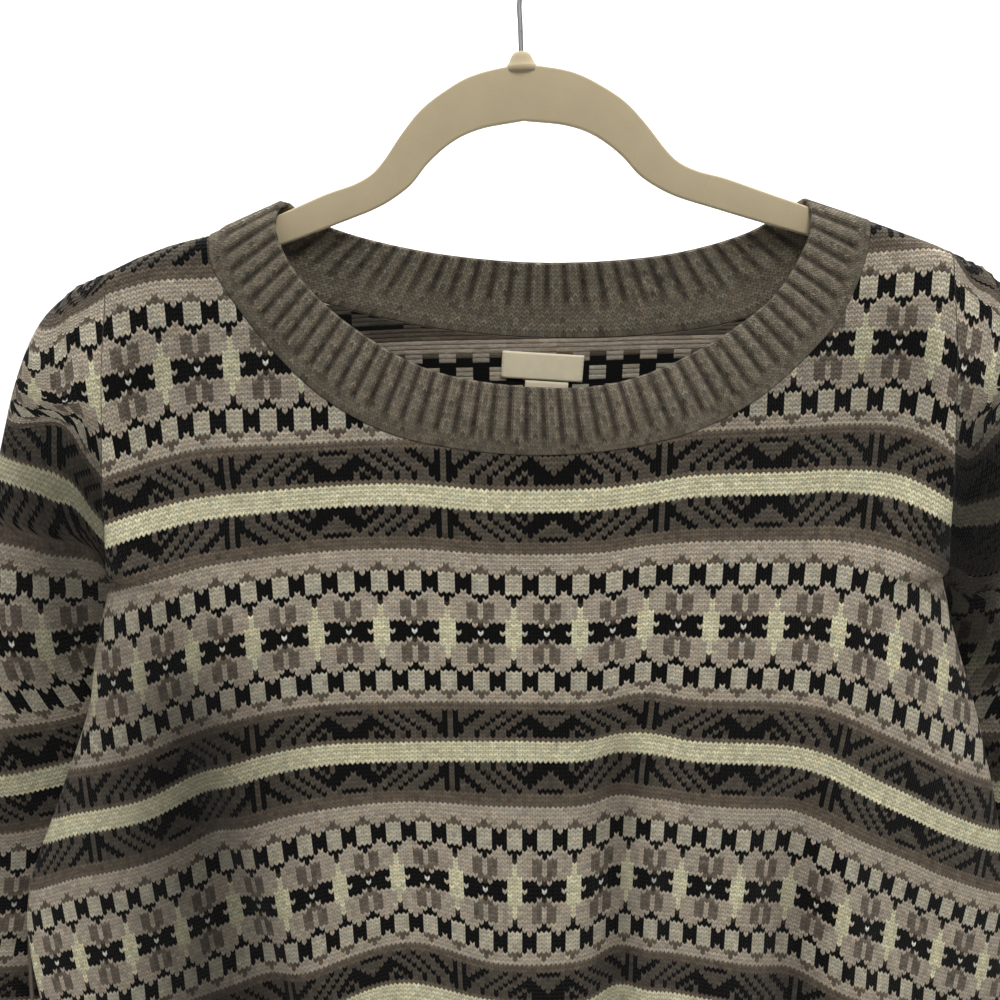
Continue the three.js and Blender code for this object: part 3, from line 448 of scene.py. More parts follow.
def catmull(points, closed=False, samples=24):
    """A dense centripetal curve through points."""
    p = [np.asarray(q, float) for q in points]
    n = len(p)
    out = []
    spans = n if closed else n - 1
    for i in range(spans):
        if closed:
            a, b, c, d = p[(i - 1) % n], p[i], p[(i + 1) % n], p[(i + 2) % n]
        else:
            b, c = p[i], p[i + 1]
            a = p[i - 1] if i > 0 else 2 * b - c
            d = p[i + 2] if i + 2 < n else 2 * c - b
        t1 = max(np.linalg.norm(b - a) ** 0.5, 1e-6)
        t2 = t1 + max(np.linalg.norm(c - b) ** 0.5, 1e-6)
        t3 = t2 + max(np.linalg.norm(d - c) ** 0.5, 1e-6)
        for k in range(samples):
            t = t1 + (t2 - t1) * k / samples
            a1 = (t1 - t) / t1 * a + t / t1 * b
            a2 = (t2 - t) / (t2 - t1) * b + (t - t1) / (t2 - t1) * c
            a3 = (t3 - t) / (t3 - t2) * c + (t - t2) / (t3 - t2) * d
            b1 = (t2 - t) / t2 * a1 + t / t2 * a2
            b2 = (t3 - t) / (t3 - t1) * a2 + (t - t1) / (t3 - t1) * a3
            out.append((t2 - t) / (t2 - t1) * b1 + (t - t1) / (t2 - t1) * b2)
    out.append(p[0] if closed else p[-1])
    return np.array(out)


def resampled(points, shares):
    """Points of a polyline at shares of its length."""
    steps = np.linalg.norm(np.diff(points, axis=0), axis=1)
    along = np.concatenate([[0], np.cumsum(steps)])
    along /= along[-1]
    return np.stack([np.interp(shares, along, points[:, k]) for k in range(points.shape[1])], axis=-1)


# Meshes
def linear(colour):
    c = np.asarray(colour, float) / 255
    return np.where(c <= 0.04045, c / 12.92, ((c + 0.055) / 1.055) ** 2.4)


def mesh_object(name, points, quads, uv=None, colours=None):
    """An object from points in millimetres and faces of four corners, with a colour to each face."""
    world = (np.asarray(points, float) - (0, 0, LOOP_RADIUS)) * MM
    quads = np.asarray(quads, np.int32)
    mesh = bpy.data.meshes.new(name)
    mesh.vertices.add(len(world))
    mesh.vertices.foreach_set("co", world.astype(np.float32).ravel())
    mesh.loops.add(quads.size)
    mesh.loops.foreach_set("vertex_index", quads.ravel())
    mesh.polygons.add(len(quads))
    mesh.polygons.foreach_set("loop_start", np.arange(0, quads.size, 4, dtype=np.int32))
    mesh.update(calc_edges=True)
    if uv is not None:
        layer = mesh.uv_layers.new(name="Stitch")
        layer.data.foreach_set("uv", np.asarray(uv, np.float32).ravel())
    if colours is not None:
        layer = mesh.color_attributes.new(name="yarn", type="FLOAT_COLOR", domain="CORNER")
        rgba = np.ones((quads.size, 4), np.float32)
        rgba[:, :3] = np.repeat(colours, 4, axis=0)
        layer.data.foreach_set("color", rgba.ravel())
    mesh.polygons.foreach_set("use_smooth", np.full(len(quads), True))
    mesh.validate()
    obj = bpy.data.objects.new(name, mesh)
    bpy.context.scene.collection.objects.link(obj)
    return obj


def grid_quads(rows, columns, closed=False, wrapped=False, flip=False):
    """Faces of a grid; closed says that the last column meets the first, wrapped that rows do so."""
    spans = columns if closed else columns - 1
    i, j = np.meshgrid(np.arange(rows if wrapped else rows - 1), np.arange(spans), indexing="ij")
    i, j = i.ravel(), j.ravel()
    right = (j + 1) % columns
    under = (i + 1) % rows
    quads = np.stack([i * columns + j, under * columns + j, under * columns + right, i * columns + right], 1)
    return quads[:, ::-1] if flip else quads


def stitch_uv(halves, flip=False):
    """Corners of each half stitch: u from the stitch's middle to its edge, v from below to above."""
    from_middle = (halves % 2 == 0)[:, None]
    u = np.where(from_middle, [[0, 0, 1, 1]], [[1, 1, 0, 0]])
    v = np.broadcast_to([[1, 0, 0, 1]], u.shape)
    corners = np.stack([u, v], axis=-1)
    if flip:
        corners = corners[:, ::-1]
    return corners.reshape(-1, 2)


# Yarn of each stitch
def mirrored(count, repeat):
    d = np.mod(count, repeat)
    return np.minimum(d, repeat - d)


def build_chart():
    """One period of the pattern as letters, by row and by stitch over both repeats' length."""
    width = FLOWER_REPEAT * DARK_REPEAT // 2
    stitches = np.arange(width)
    flower = mirrored(stitches, FLOWER_REPEAT)
    dark = mirrored(stitches - DARK_CENTRE, DARK_REPEAT)
    chart = np.full((PERIOD, width), "t")
    chart[0:5] = "c"
    for k, line in enumerate(DARK_ROWS):
        letters = np.array(list(line))[dark]
        chart[DARK_UPPER_ROW + k] = letters
        chart[DARK_LOWER_ROW + len(DARK_ROWS) - 1 - k] = letters
    for k, line in enumerate(FLOWER_ROWS):
        chart[FLOWER_FIRST_ROW + k] = np.array(list(line))[flower]
    return chart


CHART = build_chart()
YARN_KEYS = sorted(YARNS)
YARN_TABLE = np.array([linear(YARNS[k]) for k in YARN_KEYS])


def yarn_letters(stitches, rows):
    return CHART[np.mod(rows, PERIOD), np.mod(stitches, CHART.shape[1])]


def yarn_colours(letters, rng):
    """The colour of each stitch, with a little difference from one to the next."""
    index = np.searchsorted(YARN_KEYS, letters)
    pale = np.isin(letters, list(PALE_YARNS))
    shade = 1 + rng.normal(0, np.where(pale, 0.1, 0.14))
    warmth = rng.normal(0, 0.025, len(letters))
    tint = np.stack([1 + warmth, np.ones(len(letters)), 1 - warmth], axis=1)
    return np.clip(YARN_TABLE[index] * shade[:, None] * tint, 0, 1)


# Body panels
def panel_border(panel):
    """The panel's cut edge in width and flattened height."""
    neck = catmull(panel["neck"])
    left_shoulder = np.linspace(ARMHOLE_TOP[-1][0], neck[0, 0], 12)[:-1]
    right_shoulder = np.linspace(neck[-1, 0], ARMHOLE_TOP[1][0], 12)[1:]
    top = np.concatenate([
        np.stack([left_shoulder, shoulder_z(left_shoulder)], 1), neck,
        np.stack([right_shoulder, shoulder_z(right_shoulder)], 1),
    ])
    right_z = np.concatenate([np.linspace(ARMHOLE_TOP[1][1], ARMHOLE_FOOT[1][1], 40)[1:],
                              np.linspace(ARMHOLE_FOOT[1][1], RIB_TOP_Z, 70)[1:]])
    left_z = np.concatenate([np.linspace(ARMHOLE_TOP[-1][1], ARMHOLE_FOOT[-1][1], 40),
                             np.linspace(ARMHOLE_FOOT[-1][1], RIB_TOP_Z, 70)[1:]])
    right = np.stack([side_x(right_z, 1), right_z], 1)
    left = np.stack([side_x(left_z, -1), left_z], 1)[::-1]
    hem_x = np.linspace(right[-1, 0], left[0, 0], 120)[1:-1]
    hem = np.stack([hem_x, np.full_like(hem_x, RIB_TOP_Z)], 1)
    border = np.concatenate([top, right, hem, left[:-1]])
    border[:, 1] = flattened(border[:, 0], border[:, 1])
    return border


def inside(points, border):
    """Which points lie inside a closed border."""
    x, z = points[:, 0], points[:, 1]
    odd = np.zeros(len(points), bool)
    for (ax, az), (bx, bz) in zip(border, np.roll(border, -1, axis=0)):
        if az == bz:
            continue
        crosses = (az > z) != (bz > z)
        odd ^= crosses & (x < (bx - ax) * (z - az) / (bz - az) + ax)
    return odd


def onto_border(points, border):
    """The nearest point of the border to each point."""
    a = border[None]
    span = (np.roll(border, -1, axis=0) - border)[None]
    out = np.empty_like(points)
    for start in range(0, len(points), 2000):
        p = points[start:start + 2000, None]
        t = np.clip(((p - a) * span).sum(-1) / np.maximum((span**2).sum(-1), 1e-9), 0, 1)
        near = a + t[..., None] * span
        best = ((p - near) ** 2).sum(-1).argmin(1)
        out[start:start + 2000] = near[np.arange(len(p)), best]
    return out


def panel_lattice(panel, rows, half_stitches):
    """Width and flattened height of each lattice point: odd half stitches lie one row higher."""
    lattice = np.empty((len(rows), len(half_stitches), 2))
    odd = half_stitches % 2 == 1
    above = None
    for i, row in enumerate([rows[0] - 1, *rows]):
        count, flat = row_stitches(row, panel)
        x = np.interp(half_stitches / 2, count, FINE_X)
        here = np.stack([x, np.interp(x, FINE_X, flat)], axis=-1)
        if above is not None:
            lattice[i - 1] = np.where(odd[:, None], SLANT * above + (1 - SLANT) * here, here)
        above = here
    return lattice


def trimmed_lattice(panel, half_stitches, flip):
    """The lattice inside a panel's cut edge, its faces, and the row, half stitch and place of each."""
    flat = panel_lattice(panel, BODY_ROWS, half_stitches).reshape(-1, 2)
    border = panel_border(panel)
    valid = inside(flat, border)
    quads = grid_quads(len(BODY_ROWS), len(half_stitches), flip=flip)
    quads = quads[valid[quads].any(1)]
    used = np.unique(quads)
    stray = used[~valid[used]]
    flat[stray] = onto_border(flat[stray], border)
    corner = quads.min(1)
    row = BODY_ROWS[corner // len(half_stitches)]
    half = half_stitches[corner % len(half_stitches)]
    return flat[used], np.searchsorted(used, quads), row, half, flat[corner]


def knitted_panel(name, panel, seed):
    """A panel's outer face, stitch by stitch, trimmed to its cut edge."""
    behind = panel["way"] > 0
    flat, quads, row, half, place = trimmed_lattice(panel, HALF_STITCHES, flip=behind)
    points = panel_points(flat[:, 0], rolled(flat[:, 0], flat[:, 1]), panel)
    stitch = (half + (half % 2 == 1)) // 2
    # Painted shade from the panel's table darkens whole stitches
    shade = np.clip(fold_height(panel["painted_shade_table"], place[:, 0], place[:, 1]), 0, DEEPEST_PAINTED_SHADE)
    colours = stitch_colours(stitch, row, np.random.default_rng(seed)) * (1 - shade)[:, None]
    return mesh_object(name, points, quads, stitch_uv(half, flip=behind), colours)


def stitch_colours(stitch, row, rng):
    """The same colour for both halves of a stitch."""
    key = row.astype(np.int64) * 100000 + stitch + 50000
    unique, first, back = np.unique(key, return_index=True, return_inverse=True)
    letters = yarn_letters(stitch[first], row[first])
    return yarn_colours(letters, rng)[back]


def plain_uv(faces):
    """One whole square of the stitch pattern to each face."""
    return np.tile([[0, 1], [0, 0], [1, 0], [1, 1]], (len(faces), 1))


def panel_inside(name, panel, seed):
    """A panel's inner face, with its floats, and the cut edges that join it to the outer one."""
    flat, quads, row, half, _ = trimmed_lattice(panel, FLOAT_ENDS, flip=panel["way"] < 0)
    x, z = flat[:, 0], rolled(flat[:, 0], flat[:, 1])
    inner = panel_points(x, z, panel) - WALL * panel_normals(x, z, panel)
    letters = float_letters(half // 2, row, INSIDE_SHIFT[panel["way"]])
    # Painted shade darkens the whole inner face
    colours = yarn_colours(letters, np.random.default_rng(seed)) * (1 - INSIDE_PAINTED_SHADE)
    rim_points, rim_quads = panel_rim(panel)
    points = np.concatenate([inner, rim_points])
    faces = np.concatenate([quads, rim_quads + len(inner)])
    colours = np.concatenate([colours, np.tile(linear(YARNS["t"]), (len(rim_quads), 1))])
    return mesh_object(name, points, faces, plain_uv(faces), colours)


def float_letters(stitch, row, shift):
    """Yarn that shows behind each group of stitches: mostly the one the front doesn't show."""
    lean = np.where(row % 2 == 0, 1, 0)
    letters = yarn_letters(stitch + 1 + lean, row + shift)
    line = np.mod(row + shift, PERIOD)
    checks = ((line > 18) & (line < 26)) | ((line > 42) & (line < 50))
    in_checks = {"s": "K", "K": "s", "l": "K", "t": "l"}
    elsewhere = {"K": "g", "g": "K", "t": "l", "l": "t", "s": "K", "c": "c", "w": "K", "d": "l", "p": "l"}
    checked = np.array([in_checks.get(k, k) for k in letters])
    swapped = np.array([elsewhere[k] for k in letters])
    plain = np.isin(line, [0, 1, 2, 3, 4, 12, 13, 14, 15, 16, 17, 51, 52, 53, 61])
    return np.where(plain, letters, np.where(checks, checked, swapped))


def panel_rim(panel):
    """The cut edges, from the outer face to the inner one."""
    border = panel_border(panel)
    x, z = border[:, 0], rolled(border[:, 0], border[:, 1])
    outer = panel_points(x, z, panel)
    inner = outer - WALL * panel_normals(x, z, panel)
    n = len(border)
    k = np.arange(n)
    quads = np.stack([k, n + k, n + (k + 1) % n, (k + 1) % n], 1)
    return np.concatenate([outer, inner]), quads


# Sleeves
RINGS = np.arange(1, len(RING_OUT_X) + 1)
ring_tables = [
    smooth_through(RINGS, table)
    for table in (RING_OUT_X, RING_OUT_Z, RING_OUT_Y, RING_IN_X, RING_IN_Z, RING_IN_Y, RING_DEPTH)
]


def oval(outer, inner, depth, angle):
    """Points of a flattened ring, from its outer fold round by the front."""
    along = np.sign(np.cos(angle)) * np.abs(np.cos(angle)) ** (2 / RING_FLATNESS)
    across = np.sign(np.sin(angle)) * np.abs(np.sin(angle)) ** (2 / RING_FLATNESS)
    middle, half = (outer + inner) / 2, (outer - inner) / 2
    points = middle + half * along[..., None]
    points[..., 1] -= depth * across
    return points


def table_ring(values, side, angle):
    out_x, out_z, out_y, in_x, in_z, in_y, depth = values
    top, foot = ARMHOLE_TOP[side], ARMHOLE_FOOT[side]
    outer = np.stack([top[0] + side * out_x, out_y, top[1] + out_z], axis=-1)
    inner = np.stack([foot[0] + side * in_x, in_y, foot[1] + in_z], axis=-1)
    return oval(outer, inner, depth, angle)


def armhole_ring(side, angle):
    top, foot = ARMHOLE_TOP[side], ARMHOLE_FOOT[side]
    z = (top[1] + foot[1]) / 2 + (top[1] - foot[1]) / 2 * np.cos(angle)
    x = side_x(np.maximum(z, foot[1] + 0.01), side) + side * SEAM_GAP
    depth = armhole_depth(top[1] - z, z - foot[1])
    return np.stack([x, -np.sign(np.sin(angle)) * depth, z], axis=-1)


def sleeve_points(ring, angle, side):
    """Points of the sleeve's outer face; ring 0 is the armhole."""
    ring, angle = np.broadcast_arrays(np.asarray(ring, float), np.asarray(angle, float))
    values = [table(np.maximum(ring, 1)) for table in ring_tables]
    lower = table_ring(values, side, angle)
    share = np.clip(ring, 0, 1)[..., None]
    return armhole_ring(side, angle) * (1 - share) + lower * share


def seam_angle(row, side):
    """The angle at which a row of the body meets the armhole, or half a turn below it."""
    top, foot = ARMHOLE_TOP[side], ARMHOLE_FOOT[side]
    flat = row_heights(row + SLANT / 2)
    x = (top[0] + foot[0]) / 2
    z = float(np.interp(x, FINE_X, flat))
    z = min(z, top[1])
    if z <= foot[1]:
        return math.pi
    middle, half = (top[1] + foot[1]) / 2, (top[1] - foot[1]) / 2
    return math.acos(max(min((z - middle) / half, 1), -1))


def sleeve_row(row, side):
    """A knitted row round the sleeve: from the front seam by the outer fold to the back seam."""
    tables = SLEEVE_ROWS[side]
    keys = sorted(tables)
    at = min(max(row + SLANT / 2, keys[0]), keys[-1])
    knots = np.array([[np.interp(at, keys, [tables[k][i][c] for k in keys]) for c in (0, 1)]
                      for i in range(7)])
    start = seam_angle(row, side)
    if start < math.pi:
        knots[-1] = (1 - math.cos(start)) / 2, 0
    curve = catmull(knots + np.arange(7)[:, None] * 1e-6, samples=14)
    share = np.clip(curve[:, 0], 0, 1)
    ring = np.clip(curve[:, 1], 0, len(RINGS))
    angle = np.arccos(1 - 2 * share)
    rings = np.concatenate([ring[::-1], ring[1:]])
    angles = np.concatenate([angle[::-1], -angle[1:]])
    return sleeve_points(rings, angles, side)


def side_stitches(row, side):
    """How many stitches the front has from its centre line to its edge at a row."""
    count, flat = row_stitches(row, FRONT)
    limit = float(side_x(np.interp(side * 240, FINE_X, flat), side))
    return abs(float(np.interp(limit, FINE_X, count)))


def knitted_sleeve(name, side, seed):
    rows = np.arange(SLEEVE_FIRST_ROW, SLEEVE_LAST_ROW + 1)
    lines = {}
    anchors = {}
    for row in [rows[0] - 1, *rows]:
        points = sleeve_row(row, side)
        steps = np.linalg.norm(np.diff(points, axis=0), axis=1)
        arc = np.concatenate([[0], np.cumsum(steps)])
        anchors[row] = side_stitches(min(row, FOOT_ROW), side)
        lines[row] = (anchors[row] + arc / SLEEVE_GAUGE, points)
    first = int(2 * min(anchors.values())) - 2
    last = int(2 * max(count[-1] for count, _ in lines.values())) + 2
    halves = np.arange(first, last + 1)
    odd = halves % 2 == 1
    lattice = np.empty((len(rows), len(halves), 3))
    low = np.empty((len(rows), 2))
    for i, row in enumerate(rows):
        here = [np.interp(halves / 2, lines[row][0], lines[row][1][:, k]) for k in range(3)]
        above = [np.interp(halves / 2, lines[row - 1][0], lines[row - 1][1][:, k]) for k in range(3)]
        here, above = np.stack(here, 1), np.stack(above, 1)
        lattice[i] = np.where(odd[:, None], SLANT * above + (1 - SLANT) * here, here)
        low[i] = lines[row][0][0], lines[row][0][-1]
    quads = grid_quads(len(rows), len(halves), flip=side > 0)
    corner = quads.min(1)
    i, j = corner // len(halves), corner % len(halves)
    starts = np.minimum(low[i, 0], low[np.minimum(i + 1, len(rows) - 1), 0])
    ends = np.maximum(low[i, 1], low[np.minimum(i + 1, len(rows) - 1), 1])
    keep = (halves[j + 1] / 2 > starts) & (halves[j] / 2 < ends)
    quads, i, j = quads[keep], i[keep], j[keep]
    half = halves[j]
    stitch = side * ((half + (half % 2 == 1)) // 2)
    rng = np.random.default_rng(seed)
    # Painted shade where the sleeve hangs behind the body
    colours = stitch_colours(stitch, rows[i], rng) * (1 - painted_sleeve_shade(lattice, i, j, side))[:, None]
    uv = stitch_uv(half, flip=side > 0)
    return mesh_object(name, lattice.reshape(-1, 3), quads, uv, colours)


def painted_sleeve_shade(lattice, i, j, side):
    """How much painted shade darkens each stitch: most beside the body, below the seam of the armhole."""
    at = lattice[i, j]
    top, foot = ARMHOLE_TOP[side], ARMHOLE_FOOT[side]
    outward = side * (at[:, 0] - (foot[0] + side * np.interp(at[:, 2], [-500, -430, -360], [50, 28, 4])))
    beside = 1 - ease((outward - 20) / 60)
    below = ease((top[1] - 40 - at[:, 2]) / 80) * (1 - 0.4 * ease((-390 - at[:, 2]) / 70))
    return SLEEVE_PAINTED_SHADE[side] * beside * below


def ring_normals(points):
    """Normals of a grid whose columns close on themselves, away from each row's middle."""
    around = np.roll(points, -1, axis=1) - np.roll(points, 1, axis=1)
    down = np.gradient(points, axis=0)
    n = np.cross(around, down)
    n /= np.maximum(np.linalg.norm(n, axis=-1, keepdims=True), 1e-9)
    away = points - points.mean(axis=1, keepdims=True)
    flip = (n * away).sum(-1, keepdims=True) < 0
    return np.where(flip, -n, n)


def sleeve_inside(name, side, seed):
    rings = np.linspace(0, len(RINGS), 56)
    angles = np.linspace(0, 2 * math.pi, 49)[:-1]
    outer = sleeve_points(rings[:, None], angles[None], side)
    normals = ring_normals(outer)
    inner = outer - WALL * normals
    rows, columns = outer.shape[:2]
    faces = grid_quads(rows, columns, closed=True, flip=side < 0)
    end = (rows - 1) * columns
    k = np.arange(columns)
    rims = []
    for base in (0, end):
        rims.append(np.stack([base + k, rows * columns + k + (columns if base else 0),
                              rows * columns + (k + 1) % columns + (columns if base else 0),
                              base + (k + 1) % columns], 1))
    points = np.concatenate([inner.reshape(-1, 3), outer[0], outer[-1]])
    faces = np.concatenate([faces, *rims])
    rng = np.random.default_rng(seed)
    colours = np.tile(linear(YARNS["t"]), (len(faces), 1)) * (1 + rng.normal(0, 0.15, (len(faces), 1)))
    return mesh_object(name, points, faces, plain_uv(faces), np.clip(colours, 0, 1))


# Ribs: two knit stitches that stand up, then two purl ones that lie back
RIB_HALVES = 8
RIB_PROFILE = np.array([0.12, 0.72, 1.0, 0.86, 1.0, 0.72, 0.12, 0.0])
# Share of the ridge colour across one rib: painted shade in the grooves
RIB_PAINTED_SHADING = np.array([0.5, 1.0, 0.9, 0.9, 1.0, 0.5, 0.1, 0.1])
RIB_HEIGHT = 1.1
RIB_SLANT = 0.9


def rib_colours(columns, rows, fade, rng):
    """Marled rib yarn with painted shade in the grooves; fade says how ribbed each row is."""
    shade = RIB_PAINTED_SHADING[np.arange(columns) % RIB_HALVES]
    share = shade[None] * fade[:, None] + 0.72 * (1 - fade[:, None])
    mixed = linear(RIB_GROOVE_PAINTED_SHADE) * (1 - share[..., None]) + linear(RIB_RIDGE) * share[..., None]
    stitch = rng.normal(0, 0.19, (rows, columns // 2 + 1))
    marl = 1 + np.repeat(stitch, 2, axis=1)[:, :columns]
    warmth = np.repeat(rng.normal(0, 0.03, (rows, columns // 2 + 1)), 2, axis=1)[:, :columns]
    tint = np.stack([1 + warmth, np.ones_like(warmth), 1 - warmth], axis=-1)
    return np.clip(mixed * marl[..., None] * tint, 0, 1).reshape(-1, 3)


def rib_shell(name, base, normals, outer_at, inner_at, fades, seed, closed, flip=False):
    """A ribbed strip with both faces and both ends. base and normals are rows by half stitches."""
    rows, columns = base.shape[:2]
    relief = RIB_PROFILE[np.arange(columns) % RIB_HALVES]
    outer_fade, inner_fade = fades
    outer = base + normals * (outer_at + RIB_HEIGHT * relief[None, :, None] * outer_fade[:, None, None])
    back_relief = 1 - relief
    inner = base + normals * (inner_at - 0.7 * back_relief[None, :, None] * inner_fade[:, None, None])
    middle = (outer[-1] + inner[-1]) / 2
    way = base[-1] - base[-2]
    way /= np.maximum(np.linalg.norm(way, axis=-1, keepdims=True), 1e-9)
    rounded = [outer[-1] * 0.82 + inner[-1] * 0.18 + way * 0.8, middle + way * 1.1,
               outer[-1] * 0.18 + inner[-1] * 0.82 + way * 0.8]
    strip = np.concatenate([outer, np.stack(rounded), inner[::-1]])
    quads = grid_quads(len(strip), columns, closed=closed, wrapped=True, flip=flip)
    rng = np.random.default_rng(seed)
    fade = np.concatenate([outer_fade[:-1], [1, 1, 1, 1], inner_fade[::-1][:-1], [0]])
    spans = columns if closed else columns - 1
    colours = rib_colours(spans, len(strip), fade, rng)
    half = np.tile(np.arange(spans), len(strip))
    uv = stitch_uv(half + 1, flip=flip)
    return mesh_object(name, strip.reshape(-1, 3), quads, uv, colours)


def zigzag(grid, share):
    """Moves every other column a part of a row along, as knit stitches lie."""
    out = grid.copy()
    odd = np.arange(grid.shape[1]) % 2 == 1
    moved = grid.copy()
    moved[1:-1] = grid[1:-1] * (1 - share) + grid[2:] * share
    out[:, odd] = moved[:, odd]
    return out


NECK_RIBS = {"front": 48, "back": 32}
BAND_ROWS = 18


def band_half(panel, ribs, edge_points, backward):
    """One panel's part of the neckband, from the seam to the free edge."""
    count = ribs * RIB_HALVES
    shares = np.arange(count) / count
    neck = catmull(panel["neck"])
    seam_line = panel_points(neck[:, 0], neck[:, 1], panel)
    line = np.concatenate([seam_line, neck], axis=1)
    steps = np.linalg.norm(np.diff(seam_line, axis=0), axis=1)
    along = np.concatenate([[0], np.cumsum(steps)])
    along /= along[-1]
    at = 1 - shares if backward else shares
    seam = np.stack([np.interp(at, along, line[:, k]) for k in range(3)], axis=-1)
    edge = resampled(edge_points, shares)
    rows = np.linspace(0, 1, BAND_ROWS)[:, None, None]
    points = seam[None] * (1 - rows) + edge[None] * rows
    away = ease(np.abs(seam[:, 1]) / 14)
    points[..., 1] += panel["way"] * BAND_BULGE * away[None] * np.sin(math.pi * rows[..., 0])
    return points


def neckband():
    edge = catmull(NECK_EDGE, closed=True)
    turn = NECK_EDGE_RIGHT * 24
    front = band_half(FRONT, NECK_RIBS["front"], edge[:turn + 1], False)
    back = band_half(BACK, NECK_RIBS["back"], edge[turn:], True)
    base = np.concatenate([front, back], axis=1)
    around = np.roll(base, -1, axis=1) - np.roll(base, 1, axis=1)
    normals = np.cross(around, np.gradient(base, axis=0))
    normals /= np.maximum(np.linalg.norm(normals, axis=-1, keepdims=True), 1e-9)
    if normals[1, front.shape[1] // 2, 1] > 0:
        normals = -normals
    base = zigzag(base, RIB_SLANT)
    share = np.linspace(0, 1, BAND_ROWS)
    outer_fade = ease((share - 0.1) / 0.14)
    inner_fade = ease((share - 0.3) / 0.3)
    return rib_shell("neckband_knit", base, normals, BAND_RISE, BAND_RISE - BAND_WALL + 0.5,
                     (outer_fade, inner_fade), 31, closed=True)


HEM_RIBS = 60
HEM_ROWS = 27


def hem_rib(name, panel, seed):
    """The ribbed hem of one panel, its ribs even along the cloth."""
    count = HEM_RIBS * RIB_HALVES
    z_rows = np.linspace(RIB_TOP_Z - SEAM_GAP, HEM_Z, HEM_ROWS)
    base = []
    for z in z_rows:
        left, right = float(side_x(np.array(z), -1)), float(side_x(np.array(z), 1))
        u = (1 - np.cos(np.linspace(0, math.pi, 600))) / 2
        x = left + (right - left) * u
        points = panel_points(x, np.full_like(x, z), panel)
        base.append(resampled(points, np.linspace(0, 1, count + 1)))
    base = np.array(base)
    around = np.gradient(base, axis=1)
    normals = np.cross(around, np.array([0.0, 0.0, 1.0]))
    normals /= np.maximum(np.linalg.norm(normals, axis=-1, keepdims=True), 1e-9)
    if normals[0, count // 2, 1] * panel["way"] < 0:
        normals = -normals
    base = zigzag(base, RIB_SLANT)
    share = np.linspace(0, 1, HEM_ROWS)
    fade = ease((share - 0.02) / 0.06)
    return rib_shell(name, base, normals, 0.0, -WALL + 0.7, (fade, fade), seed, closed=False,
                     flip=panel["way"] > 0)


CUFF_RIBS = 30
CUFF_ROWS = 27


def cuff(name, side, seed):
    count = CUFF_RIBS * RIB_HALVES
    base = []
    for share in np.linspace(0, 1, CUFF_ROWS):
        values = [np.full(721, a * (1 - share) + b * share) for a, b in zip(CUFF_TOP, CUFF_END)]
        ring = table_ring(values, side, np.linspace(0, 2 * math.pi, 721))
        base.append(resampled(ring, np.arange(count) / count))
    base = np.array(base)
    normals = ring_normals(base)
    base = zigzag(base, RIB_SLANT)
    share = np.linspace(0, 1, CUFF_ROWS)
    fade = ease((share - 0.02) / 0.06)
    return rib_shell(name, base, normals, 0.0, -WALL + 0.7, (fade, fade), seed, closed=True, flip=side < 0)


# Label and tab
def on_tape(patch, u, v):
    """Width and height of a point of a tilted strip, at shares of it from its middle."""
    x0, z0, width, height = patch
    tilt = math.radians(LABEL_TILT)
    x = x0 + u * width * math.cos(tilt) - v * height * math.sin(tilt)
    z = z0 + u * width * math.sin(tilt) + v * height * math.cos(tilt)
    return x, z


def label_patch(name, patch, sag):
    """A strip of tape on the back's inner face, a little proud of it between its stitched ends."""
    width, height = patch[2:]
    columns, rows = 33, 13
    u = np.linspace(-0.5, 0.5, columns)[None] * np.ones((rows, 1))
    v = np.linspace(0.5, -0.5, rows)[:, None] * np.ones((1, columns))
    x, z = on_tape(patch, u, v)
    face = panel_points(x, z, BACK)
    normal = panel_normals(x, z, BACK)
    lift = sag * (1 - (2 * u) ** 4)
    near = face - normal * (WALL + SEAM_GAP + 0.15 + lift)[..., None]
    far = near - normal * 0.6
    strip = np.concatenate([far, near[::-1]])
    quads = grid_quads(len(strip), columns, wrapped=True)
    ends = []
    for column in (0, columns - 1):
        a = np.arange(rows - 1) * columns + column
        b = (2 * rows - 1 - np.arange(rows - 1)) * columns + column
        side = np.stack([a, b, b - columns, a + columns], 1)
        ends.append(side if column == 0 else side[:, ::-1])
    quads = np.concatenate([quads, *ends])
    flat_u = np.tile(u[0] + 0.5, len(strip)).reshape(len(strip), columns)
    flat_v = np.concatenate([v[:, :1] + 0.5, v[::-1, :1] + 0.5]) * np.ones((1, columns))
    corner_uv = np.stack([flat_u * width, flat_v * height], axis=-1).reshape(-1, 2)
    uv = corner_uv[quads.ravel()]
    return mesh_object(name, strip.reshape(-1, 3), quads, uv)


def tube(name, path, radius, sides):
    """A round tube along points, with its end rings drawn in to close it."""
    path = np.asarray(path, float)
    tangent = np.gradient(path, axis=0)
    tangent /= np.linalg.norm(tangent, axis=1, keepdims=True)
    hint = np.array([0.0, 1.0, 0.0])
    a = np.cross(tangent, hint)
    short = np.linalg.norm(a, axis=1) < 0.2
    a[short] = np.cross(tangent[short], np.array([1.0, 0.0, 0.0]))
    a /= np.linalg.norm(a, axis=1, keepdims=True)
    b = np.cross(tangent, a)
    angle = np.linspace(0, 2 * math.pi, sides, endpoint=False)
    ring = np.cos(angle)[None, :, None] * a[:, None] + np.sin(angle)[None, :, None] * b[:, None]
    points = path[:, None] + ring * radius
    start = [path[:1, None] - tangent[:1, None] * radius * lift + ring[:1] * radius * size
             for lift, size in TUBE_END[::-1]]
    end = [path[-1:, None] + tangent[-1:, None] * radius * lift + ring[-1:] * radius * size
           for lift, size in TUBE_END]
    points = np.concatenate([*start, points, *end])
    quads = grid_quads(len(points), sides, closed=True)
    return mesh_object(name, points.reshape(-1, 3), quads)


